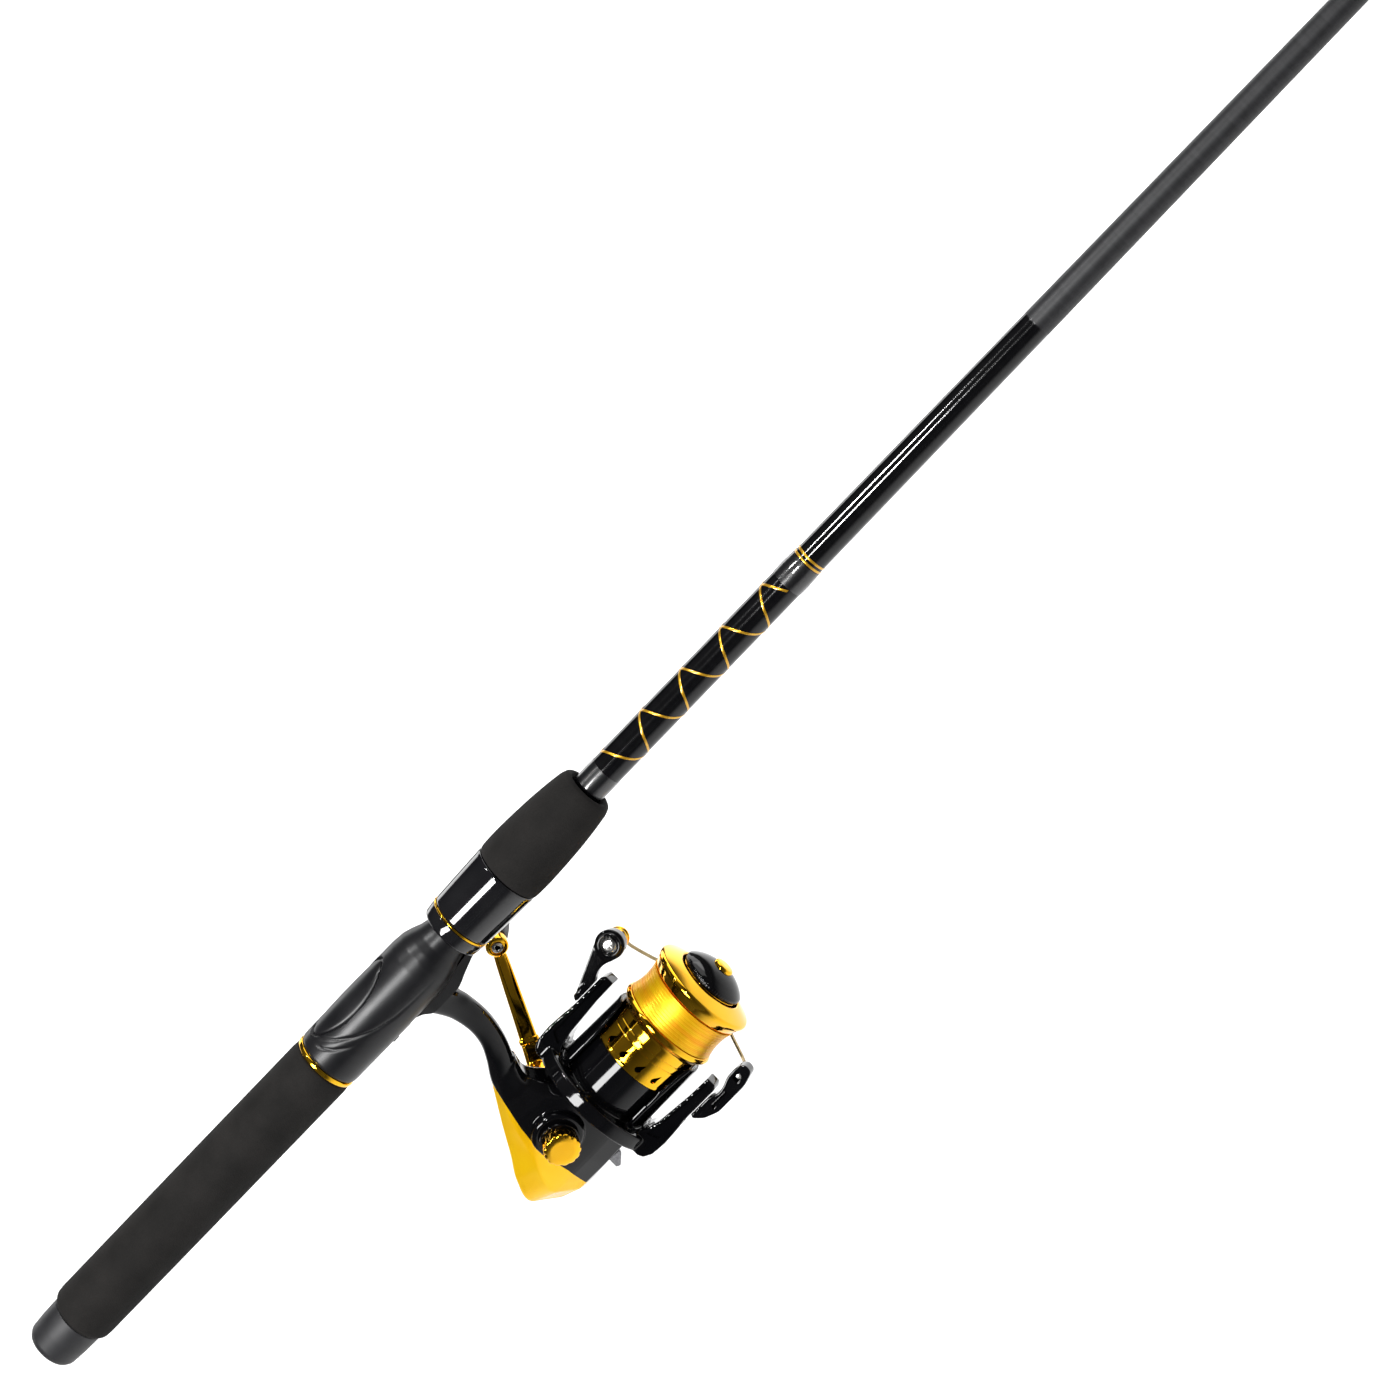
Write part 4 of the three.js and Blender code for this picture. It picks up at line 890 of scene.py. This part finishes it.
def make_housing():
    case = stacked(HOUSING, 72, facet_section())
    stem = stacked(STEM, 60, oval_section())
    near_boss = at_crank(turned([(-16.6, 0), (-16.6, 10.6), (-15.4, 11.9), (-9, 12.4), (-9, 0)], 0.8))
    far_boss = at_crank(turned([(16.6, 0), (16.6, 9.4), (15.4, 10.4), (9, 10.8), (9, 0)], 0.8))
    skin = fused("housing_skin", [case, stem, near_boss, far_boss], 0.5, 2, crease=35.0)
    tail = copy_of(skin, "tail_shell")
    cover = copy_of(skin, "crank_side_cover")

    inner = stacked(grown([(-133.4, 223.3, 26.5, 9)] + HOUSING[2:-1], -2.4, -1.8), 40, facet_section())
    room = slab([(150, -30), (242.6, -30), (242.6, 30), (150, 30)], -160, -70)
    hollow = to_object("housing_hollow", inner)
    carve(hollow, [room], keep=True)
    hollow_shape = shape_of(hollow)

    front = prism(FRONT_SIDE, -40, 40)
    rear = prism([((150 if x == 250 else x - 0.3), z) for x, z in FRONT_SIDE], -40, 40)
    body_room = prism([(150, -160), (244, -160), (244, -66), (265, -66), (265, -5), (150, -5)], -40, 40)
    near_side = prism([(-30, -160), (3.85, -160), (3.85, -66.9), (30, -66.9), (30, -5), (-30, -5)],
                      150, 270, axes=(1, 2, 0))
    far_side = prism([(4.15, -160), (30, -160), (30, -67.2), (4.15, -67.2)], 150, 244, axes=(1, 2, 0))
    crank_bore = at_crank(lathe([(-30, 0), (-30, 4.3), (30, 4.3), (30, 0)], 48))
    near_seat = at_crank(lathe([(-16.2, 0), (-16.2, 6.3), (-8, 6.3), (-8, 0)], 48))
    far_seat = at_crank(lathe([(8, 0), (8, 6.3), (16.2, 6.3), (16.2, 0)], 48))
    gear_room = at_crank(lathe([(-9.2, 0), (-9.2, 15.4), (-2.2, 15.4), (-2.2, 0)], 64))
    lever_slot = prism([(224.6, -142), (232.4, -142), (232.4, -130), (224.6, -130)], -4.4, 4.4)
    neck_bore = moved(lathe([(238, 0), (238, 7.3), (256, 7.3), (256, 0)], 48), SHAFT_FRAME)

    carve(skin, [body_room, near_side], keep=True)
    carve(skin, [rear, hollow_shape, crank_bore, near_seat, gear_room, lever_slot, neck_bore])
    foot = make_foot()
    neck = moved(turned([(242.7, 7.3), (242.7, 11.6), (252.5, 11.6), (252.5, 7.3), (242.7, 7.3)], 0.4, 64),
                 SHAFT_FRAME)
    finish_piece(skin, GLOSS, "rod", "gloss_black", "reel_body")
    skin.name = "body_casting"
    piece("bearing_neck", neck, GLOSS, "rod", "gloss_black")
    finish_piece(foot, GLOSS, "rod", "gloss_black")

    carve(cover, [front, far_side], keep=True)
    carve(cover, [hollow_shape, crank_bore, far_seat, lever_slot])
    finish_piece(cover, GLOSS, "rod", "gloss_black", "side_cover")

    carve(tail, [rear], keep=True)
    carve(tail, [hollow_shape])
    finish_piece(tail, SHELL_GOLD, "rod", "gold_shell", "rear_shell")
    for i, (x, z) in enumerate(((238, -92), (222.5, -84), (236, -128), (219.5, -127))):
        side = 12.2 if i < 2 else 10.9
        head = turned([(side - 1.2, 0), (side - 1.2, 1.7), (side + 0.3, 1.7), (side + 0.6, 1.2),
                       (side + 0.6, 0)], 0.3, 32)
        screw = to_object(f"cover_screw_{i}", along_y(head, x, z))
        carve(screw, [shifted(prism(rounded_box_section(w, h, 0.1), side, side + 2), x, 0, z)
                      for w, h in ((0.28, 1.2), (1.2, 0.28))])
        finish_piece(screw, STEEL, "rod", "steel")


def make_foot():
    side = [(217, -10), (217, -12.3), (231, -12.7), (237, -15.4), (240, -17.5), (257, -17.5), (264, -15),
            (273, -12.5), (285, -12.1), (285, -10)]
    plan = [(217, 4.4), (220, 5.9), (236, 6), (242, 8.2), (260, 8.2), (271, 5.7), (282, 5.6), (285, 4.4)]
    outline = plan + [(x, -y) for x, y in reversed(plan)]
    foot = to_object("reel_foot", prism(rounded(side, 1.2), -12, 12))
    carve(foot, [slab(rounded(outline, 1.2), -24, -6)], keep=True)
    carve(foot, [lathe([(200, 0), (200, 10.7), (300, 10.7), (300, 0)], 72)])
    return foot


def make_lever():
    tab = prism(rounded([(225.4, -137.6), (224.2, -143.4), (226.2, -144.4), (232.0, -139.4),
                         (231.4, -137.8)], 0.7), -3.2, 3.2)
    stalk = prism([(227.4, -139), (229.8, -139), (229.8, -132), (227.4, -132)], -1.1, 1.1)
    pin = shifted(lathe([(226, 0), (226, 1.2), (231, 1.2), (231, 0)], 24), 0, 0, -132.4)
    lever = fused("switch_tab", [tab, stalk, pin], 0.22, 4)
    finish_piece(lever, DARK_STEEL, "reverse_switch", "steel", "anti_reverse_lever")


# ---------- rotor, in its own axes: x along the shaft, y through the arms, z towards the near side ----------
def arm_shapes(sign):
    side = [(244.8, 22), (244.8, 31.4), (246.0, 33.8), (250, 35.8), (257, 36.4), (266, 35.8), (270, 35.2),
            (288.8, 35.2), (290.8, 33.8), (290.8, 29.4), (280, 29.2), (262, 27.6), (256, 26.2),
            (252.5, 24.2), (252.5, 22)]
    side = [(x, u * sign) for x, u in side]
    return slab(side, -14, 14)


def arm_plan(inset=0.0):
    """Outline (x, v) of an arm seen from outside: broad at the rim, narrow at its tip."""
    plan = [(240, 12.4), (251, 12.2), (258, 10.6), (268, 8.8), (282, 6.8), (292, 5.6)]
    plan = [(x, v - inset) for x, v in plan]
    return plan + [(x, -v) for x, v in reversed(plan)]


def make_rotor():
    cup = turned([(245.8, 18), (245.8, 19.6), (274, 19.6), (275, 18.6), (275, 3.45), (272.4, 3.45),
                  (272.4, 18), (245.8, 18)], 0.5, 112)
    path = []
    count = 120
    for i in range(count):
        angle = 2 * math.pi * i / count
        path.append(Vector((248.4, 29.9 * math.cos(angle), 25.9 * math.sin(angle))))
    rim = sweep(path, rounded_box_section(2.3, 3.6, 1.1, 3), closed=True, up=(1, 0, 0))
    floor = lathe([(248.2, 17.5), (248.2, 26.5), (250.6, 26.5), (250.6, 17.5), (248.2, 17.5)], 96)
    wall = lathe([(250, 22.3), (250, 24.0), (288.4, 23.8), (289.2, 23.2), (289.2, 22.3), (250, 22.3)],
                 112)
    shoulders = []
    for sign in (1, -1):
        half = to_object("shoulder", wall)
        outline = rounded([(249, 3 * sign), (291, 3 * sign), (291, 30 * sign), (249, 30 * sign)], 0.1)
        window = prism(rounded([(249, -13), (268, -13), (284, -11.6), (292, -8), (292, 8), (284, 11.6),
                                (268, 13), (249, 13)], 4.0), 0, 30 * sign)
        carve(half, [slab(outline, -20, 20), window], keep=True)
        shoulders.append(shape_of(half))
    blades = []
    for sign in (1, -1):
        blade = to_object("blade", arm_shapes(sign))
        low, high = sorted((0, 60 * sign))
        carve(blade, [prism(arm_plan(), low, high)], keep=True)
        blades.append(shape_of(blade))
    rotor = fused("rotor_casting", [cup, rim, floor, *shoulders, *blades], 0.5, 4)
    holes = []
    for sign in (1, -1):
        low, high = sorted((33.8 * sign, 40 * sign))
        holes.append(along_y(lathe([(low, 0), (low, 1.7), (high, 1.7), (high, 0)], 32), PIVOT_X + 4, 0))
        # a shallow channel down the outside of each arm, and one down each of its edges
        low, high = sorted((34.5 * sign, 40 * sign))
        channel = rounded([(254, -4.6), (271, -3.4), (271, 3.4), (254, 4.6)], 1.6)
        holes.append(prism(channel, low, high))
        edge = [(254.5, 27.6), (262, 29.2), (280, 30.6), (289, 30.8), (289, 33.4), (257, 33.2)]
        edge = slab([(x, u * sign) for x, u in rounded(edge, 0.8)], -20, 20)
        low, high = sorted((10 * sign, 50 * sign))
        channels = to_object("edge_channels", edge)
        carve(channels, [prism(arm_plan(1.3), low, high)])
        holes.append(shape_of(channels))
    carve(rotor, holes, crease=50.0)
    rotor.data.transform(scaled(ROTOR_FRAME))
    finish_piece(rotor, GLOSS, "rotor_group", "gloss_black", "rotor")


def phillips(name, x, u, v0, radius, body):
    """A cross-recess screw whose head faces along v."""
    head = turned([(v0, 0), (v0, radius), (v0 + 0.8, radius), (v0 + 1.3, radius * 0.72), (v0 + 1.5, 0)],
                  0.35, 40)
    screw = to_object(name, along_v(head, x, u))
    for w, h in ((radius * 0.62, 0.36), (0.36, radius * 0.62)):
        arm = slab(rounded_box_section(w, h, 0.15), v0 + 0.6, v0 + 3)
        carve(screw, [shifted(arm, x, u, 0)])
    screw.data.transform(scaled(ROTOR_FRAME))
    return finish_piece(screw, STEEL, body, "steel")


def make_bail():
    # roller side
    outline = [(271.7, 35.7), (272.3, 37.4), (296.4, 47.7), (301.5, 49.4), (306.5, 47.2), (308.3, 42.2),
               (306.2, 37.6), (301.8, 35.7), (297.4, 36.6), (293.6, 38.2), (289.4, 38.3), (285.8, 36.8),
               (284.2, 35.6)]
    bar = slab(rounded(outline, 2.2, 5), -3.2, 3.2)
    head = along_v(turned([(-3.6, 0), (-3.6, 6.6), (3.2, 6.9), (3.8, 6.3), (3.8, 0)], 0.8, 72), ROLLER_X,
                   ROLLER_U)
    hub = along_y(turned([(35.5, 0), (35.5, 4.8), (38.4, 4.8), (38.4, 0)], 0.5, 64), PIVOT_X, 0)
    collar = along_v(turned([(3.2, 3.9), (3.2, 5.6), (4.9, 5.3), (4.9, 4.2), (3.2, 3.9)], 0.4, 64),
                     ROLLER_X, ROLLER_U)
    axle = along_v(lathe([(-12, 0), (-12, 1.6), (0, 1.6), (0, 0)], 32), ROLLER_X, ROLLER_U)
    lever = fused("bail_lever_arm", [bar, head, hub, collar, axle], 0.32, 4)
    lever.data.transform(scaled(ROTOR_FRAME))
    finish_piece(lever, GLOSS, "bail", "gloss_black", "bail_lever")
    screw = phillips("lever_screw", ROLLER_X, ROLLER_U, 3.6, 3.3, "bail")
    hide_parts("roller_screw")

    # far side
    outline = [(273.0, -35.6), (284.4, -35.5), (288.6, -37.4), (292.6, -36.9), (297.2, -35.0),
               (303.4, -34.7), (307.2, -37.0), (306.6, -41.2), (300, -43.2), (283, -43.4), (276, -40.8),
               (272.4, -37.2)]
    bar = slab(rounded(outline, 1.8, 5), -4.4, 4.4)
    hub = along_y(turned([(-38.4, 0), (-38.4, 4.8), (-35.5, 4.8), (-35.5, 0)], 0.5, 64), PIVOT_X, 0)
    socket = along_v(turned([(-9, 0), (-9, 2.9), (3, 3.2), (3, 0)], 0.6, 48), 301.2, -38.6)
    holder = fused("bail_holder_arm", [bar, hub, socket], 0.32, 4)
    window = shifted(slab(rounded_box_section(2.1, 1.9, 0.4), 1.6, 6), 300.6, -38.6, 0)
    groove = shifted(slab(rounded_box_section(5.0, 1.0, 0.8), 2.6, 6), 287.5, -40.2, 0)
    carve(holder, [window], crease=50.0)
    carve(holder, [groove], crease=50.0)
    holder.data.transform(scaled(ROTOR_FRAME))
    finish_piece(holder, GLOSS, "bail", "gloss_black", "bail_holder")
    stud = along_v(turned([(0.6, 0), (0.6, 1.4), (2.4, 1.3), (2.4, 0)], 0.25, 32), 300.6, -38.6)
    piece("holder_stud", moved(stud, ROTOR_FRAME), STEEL, "bail", "steel")

    route = [(301.2, 42.2, -19.6), (300, 39.6, -23), (299, 35.4, -27.6), (299, 24, -39),
             (300.6, 11.5, -50.4), (301.5, 0, -55), (300.6, -11.5, -50.4), (299, -24, -39),
             (299, -35, -26), (300, -37.8, -17), (301.2, -38.4, -9.5)]
    piece("bail_hoop", moved(tube(route, 0.85, 16, 12), ROTOR_FRAME), WIRE, "bail", "steel", "bail_wire")
    cone = turned([(-12.4, 0), (-12.4, 3.4), (-13.8, 5.2), (-15.8, 4.8), (-19.2, 1.6), (-19.6, 0)],
                  0.6, 64)
    piece("roller_cone", moved(along_v(cone, ROLLER_X, ROLLER_U), ROTOR_FRAME), GOLD, "bail",
          "gold_plate", "bail_wire_end")
    roller = turned([(-11.7, 1.75), (-11.7, 4.9), (-10.9, 4.9), (-9.4, 3.7), (-6.2, 3.7), (-4.6, 4.9),
                     (-3.9, 4.9), (-3.9, 1.75), (-11.7, 1.75)], 0.4, 64)
    piece("grooved_roller", moved(along_v(roller, ROLLER_X, ROLLER_U), ROTOR_FRAME), GOLD, "roller",
          "steel", "line_roller")


# ---------- spool ----------
def make_spool():
    profile = [(271.3, 20.1), (271.3, 20.9), (271.9, 21.35), (272.9, 21.35), (273.5, 21.1), (282.2, 21.1),
               (282.4, 20.9), (282.7, 20.9), (282.9, 21.1), (285.6, 21.1), (285.8, 20.9), (286.1, 20.9),
               (286.3, 21.1), (290.2, 21.1), (291.4, 21.6), (292.6, 23.2), (293.6, 24.3), (294.8, 24.4),
               (296.0, 23.5), (296.2, 17.0), (311.8, 17.0), (311.8, 22.8), (314.2, 24.0), (316.0, 25.0),
               (317.2, 25.4), (318.2, 25.3), (318.9, 24.6), (321.9, 16.9), (321.7, 16.2), (317.2, 16.2),
               (306, 15.4), (304.4, 13.4), (304.4, 1.56), (298.4, 1.56), (298.4, 4.6),
               (301.8, 5.6), (301.8, 14.6), (292, 19.4), (289, 20.1), (271.3, 20.1)]
    spool = to_object("spool_shell", moved(turned(profile, 0.35, 160, steps=3), SHAFT_FRAME))
    bend = [math.radians(60 + 240 * k / 14) for k in range(15)]
    drop = [(275.8 + 1.5 * math.cos(a), 1.5 * math.sin(a)) for a in bend] + [(279.4, -1.9), (279.0, -1.2)]
    port = slab(drop, 17, 24)
    turns = [math.radians(FIRST_PORT + 360 * i / PORTS) for i in range(PORTS)]
    carve(spool, [merged(*[moved(port, SHAFT_FRAME @ Matrix.Rotation(turn, 4, "X")) for turn in turns])])
    finish_piece(spool, GOLD, "spool_group", "gold_plate", "spool")

    steps = 46
    wound = []
    for i in range(steps + 1):
        t = i / steps
        x = 296.5 + 15.0 * t
        wound.append((x, 22.25 + 1.05 * abs(2 * t - 1) ** 2.2 + 0.05 * math.sin(t * 61)))
    wound = wound + [(311.5, 17.3), (296.5, 17.3), wound[0]]
    piece("line_winding", moved(lathe(wound, 144), SHAFT_FRAME), LINE, "spool_group", "gold_line",
          "wound_line", crease=60.0)
    clip_outline = rounded([(277.0, -1.2), (283.6, -0.9), (284.8, 0), (283.6, 0.9), (277.0, 1.2)], 0.6)
    clip = fused("clip_tab", [slab(clip_outline, SKIRT_R + 0.1, SKIRT_R + 0.7)], 0.12, 2)
    turn = SHAFT_FRAME @ Matrix.Rotation(math.radians(CLIP_TURN), 4, "X")
    clip.data.transform(scaled(turn))
    finish_piece(clip, GOLD, "spool_group", "gold_plate", "line_clip")


def make_drag_knob():
    def ribbed(angle, along, radius):
        bite = 0.16 if 322.9 < along < 324.4 and radius > 15.2 else 0.0
        return radius - bite * (0.5 - 0.5 * math.cos(72 * angle))

    dome = [Vector(p) for p in ((325.2, 14.9, 0), (326.3, 13.6, 0), (327.8, 11.3, 0), (329.1, 8.5, 0),
                                (330.0, 5.6, 0))]
    dome = [(p.x, p.y) for p in curve_through(dome, 6)]
    rim = [(322.3, 3.2), (322.3, 15.0), (322.6, 15.3), (323.0, 15.4), (323.4, 15.45), (323.9, 15.5),
           (324.3, 15.45), (324.8, 15.3)]
    dome = rim + dome + [(330.2, 3.2), (322.3, 3.2)]
    piece("drag_knob_dome", moved(lathe(dome, 288, ribbed), SHAFT_FRAME), GLOSS, "drag", "gloss_black",
          "drag_knob", crease=50.0)
    skirt = [(309.6, 3.2), (309.6, 12.6), (312, 14.2), (316, 14.6), (322.1, 14.9), (322.1, 3.2),
             (309.6, 3.2)]
    piece("drag_knob_skirt", moved(turned(skirt, 0.4, 128), SHAFT_FRAME), GOLD, "drag", "gold_plate")
    button = [(329.0, 0), (329.0, 4.9), (331.0, 4.9), (331.7, 4.3), (332.0, 2.4), (332.0, 0)]
    piece("drag_knob_button", moved(turned(button, 0.4, 64), SHAFT_FRAME), GOLD, "drag", "gold_plate")


# ---------- crank ----------
def make_crank():
    start = Vector((CRANK_X, 0, CRANK_Z))
    run = Vector((CRANK_END.x - CRANK_X, 0, CRANK_END.z - CRANK_Z))
    length = run.length
    run.normalize()

    def at(distance, y):
        return start + run * distance + Vector((0, y, 0))

    path = curve_through([at(0, 35.5), at(9, 38.2), at(20, 43.2), at(38, 47.4), at(52, 50),
                          at(length - 3, CRANK_END.y - 0.4)], 10)
    blade = sweep(path, rounded_box_section(3.7, 2.3, 2.1, 5), up=(0, 1, 0),
                  scale=lambda t: (1.28 - 0.5 * t, 1.1 - 0.25 * t))
    hub = at_crank(turned([(27, 0), (27, 5.6), (29, 6.2), (37.6, 6.2), (39.4, 5), (39.8, 0)], 0.8, 80))
    socket = at_crank(turned([(24.8, 0), (24.8, 4.6), (27.4, 5), (27.4, 0)], 0.3, 64))
    y = CRANK_END.y
    boss = at_knob(turned([(y - 3.2, 0), (y - 3.2, 4.3), (y - 2.4, 5.3), (y + 2.2, 5.3), (y + 3.2, 4.4),
                           (y + 3.2, 0)], 0.6, 72))
    near = sum(1 for point in path if (point - path[0]).length < 13.5)
    band = sweep(path[near:near + 3], rounded_box_section(4.75, 2.85, 2.3, 5), up=(0, 1, 0))
    arm = fused("crank_blade", [blade, band, hub, socket, boss], 0.28, 2)
    well = at_knob(lathe([(y - 6, 0), (y - 6, 3.9), (y - 2.2, 3.5), (y - 2.2, 0)], 48))
    carve(arm, [well], crease=50.0)
    finish_piece(arm, GOLD, "drive", "gold_plate", "crank_arm")
    rivet = at_knob(turned([(y - 3.1, 1.3), (y - 3.3, 2.0), (y - 3.1, 2.7), (y - 2.1, 2.9), (y - 2.1, 1.1),
                            (y - 3.1, 1.3)], 0.2, 48))
    spindle = at_knob(lathe([(y - 2.2, 0), (y - 2.2, 2.0), (y + 32, 2.0), (y + 32, 0)], 32))
    piece("knob_spindle", merged(spindle, rivet), STEEL, "drive", "steel")

    def flats(angle, along, radius):
        return radius * (1 + 0.022 * math.cos(8 * angle)) if radius > 5.0 else radius

    knob = [(y + 3.8, 2.2), (y + 3.8, 5.4), (y + 7, 6.4), (y + 14, 8.0), (y + 22, 9.3), (y + 28, 9.2),
            (y + 32, 7.6), (y + 33.4, 5.4), (y + 33.4, 2.2), (y + 3.8, 2.2)]
    rows = curve_profile(knob)
    piece("knob_grip", at_knob(lathe(rows, 96, flats)), RUBBER, "knob", "gloss_black", "crank_knob",
          crease=45.0)
    cap = [(y + 33.7, 0), (y + 33.7, 5.2), (y + 34.6, 4.8), (y + 35.3, 3), (y + 35.3, 0)]
    piece("knob_end_cap", at_knob(turned(cap, 0.4, 64)), GOLD, "knob", "gold_plate", "crank_knob_cap")

    def scallop(angle, along, radius):
        wave = 0.5 + 0.5 * math.cos(14 * angle)
        return radius - 0.42 * (1 - wave) ** 2 if radius > 7.4 and along < -20.4 else radius

    cap = [(-19.7, 0), (-19.7, 7.2), (-20.4, 7.4), (-20.6, 8.2), (-25.6, 8.55), (-26.4, 8.2),
           (-26.9, 7.2), (-27.2, 5.6), (-27.2, 0)]
    piece("screw_cap_knurled", at_crank(turned(cap, 0.5, 192, scallop)), GOLD, "drive", "gold_plate",
          "handle_screw_cap")
    washer = at_crank(turned([(-18.6, 4.4), (-18.6, 9.2), (-19.5, 9.0), (-19.5, 4.4), (-18.6, 4.4)],
                             0.2, 72))
    piece("screw_cap_collar", washer, GLOSS, "drive", "gloss_black")


# ---------- materials for the CAD nodes that stay ----------
def dress_inner_nodes():
    finishes = {
        STEEL: ("crank_bearing_left", "crank_bearing_right", "pinion_bearing", "roller_clutch",
                "drag_washer_steel", "main_shaft"),
        BRASS: ("drive_gear", "pinion_gear", "rotor_nut"),
        NYLON: ("oscillation_gear", "oscillation_slider"),
        FELT: ("drag_washer_felt_inner", "drag_washer_felt_outer"),
    }
    for material, names in finishes.items():
        for name in names:
            node = NODES[name]
            node.data.materials.clear()
            node.data.materials.append(material)


# ---------- stage, light and camera ----------
def make_stage():
    graph = new_graph("pale_floor")
    grain = graph.noise(6.0, 3.0)
    pale = graph.finish(Base_Color=graph.tint(grain, (0.90, 0.90, 0.90), (0.93, 0.93, 0.93)), Roughness=0.9)
    corners = [(p * FLOOR_HALF, q * FLOOR_HALF, FLOOR_LEVEL)
               for p, q in ((-1, -1), (1, -1), (1, 1), (-1, 1))]
    mesh = bpy.data.meshes.new("floor")
    mesh.from_pydata(corners, [], [(0, 1, 2, 3)])
    floor = bpy.data.objects.new("floor", mesh)
    bpy.context.scene.collection.objects.link(floor)
    mesh.materials.append(pale)


def soft_light(name, place, aim, size, power):
    data = bpy.data.lights.new(name, "AREA")
    data.shape = "RECTANGLE"
    data.size, data.size_y = size
    data.energy = power
    lamp = bpy.data.objects.new(name, data)
    lamp.location = place
    lamp.rotation_euler = (Vector(aim) - Vector(place)).to_track_quat("-Z", "Y").to_euler()
    bpy.context.scene.collection.objects.link(lamp)


def make_light():
    world = bpy.data.worlds.new("studio")
    bpy.context.scene.world = world
    graph = Graph(world, "Background", "Generated")
    height = graph.add("SeparateXYZ", {"Vector": graph.place}).outputs["Z"]
    sky = graph.ramp(height, [(0.0, (0.10, 0.10, 0.10)), (0.5, (0.035, 0.035, 0.037)),
                              (0.62, (0.02, 0.02, 0.022)), (0.95, (0.10, 0.10, 0.10))])
    graph.finish(Color=sky, Strength=1.0)
    reel = (0.27, 0, -0.08)
    soft_light("key", (-0.38, -0.95, 0.99), reel, (0.66, 0.40), 24)
    soft_light("high_window", (0.35, -0.148, 1.41), (0.45, 0, 0), (0.10, 0.10), 8)
    soft_light("front_window", (0.35, -0.977, 1.03), (0.45, 0, 0), (0.10, 0.10), 8)
    soft_light("side_card", (1.5, 0.5, 0.7), reel, (1.2, 1.2), 8)
    soft_light("backdrop_wash", (0.0, 3.15, 0.5), (0.0, 3.15, FLOOR_LEVEL), (7.0, 4.3), 225)


def make_camera():
    right = Vector((0.67531, -0.20498, -0.70848))
    down = Vector((-0.69868, -0.48547, -0.52552))
    forward = Vector((-0.23622, 0.84988, -0.47106))
    data = bpy.data.cameras.new("camera")
    data.lens = 90
    data.sensor_width = 36
    data.clip_end = 60
    camera = bpy.data.objects.new("camera", data)
    turn = Matrix((right, -down, -forward)).transposed()
    camera.matrix_world = Matrix.Translation((0.76887, -1.24822, 0.68290)) @ turn.to_4x4()
    bpy.context.scene.collection.objects.link(camera)
    bpy.context.scene.camera = camera
    bpy.context.scene.view_settings.view_transform = "Standard"


make_camera()
make_grips()
make_seat()
make_hood()
make_blank_pieces()
for number, guide in enumerate(GUIDES, 1):
    make_guide(number, *guide)
make_tip_top()
make_housing()
make_lever()
make_rotor()
make_bail()
make_spool()
make_drag_knob()
make_crank()
dress_inner_nodes()
make_stage()
make_light()
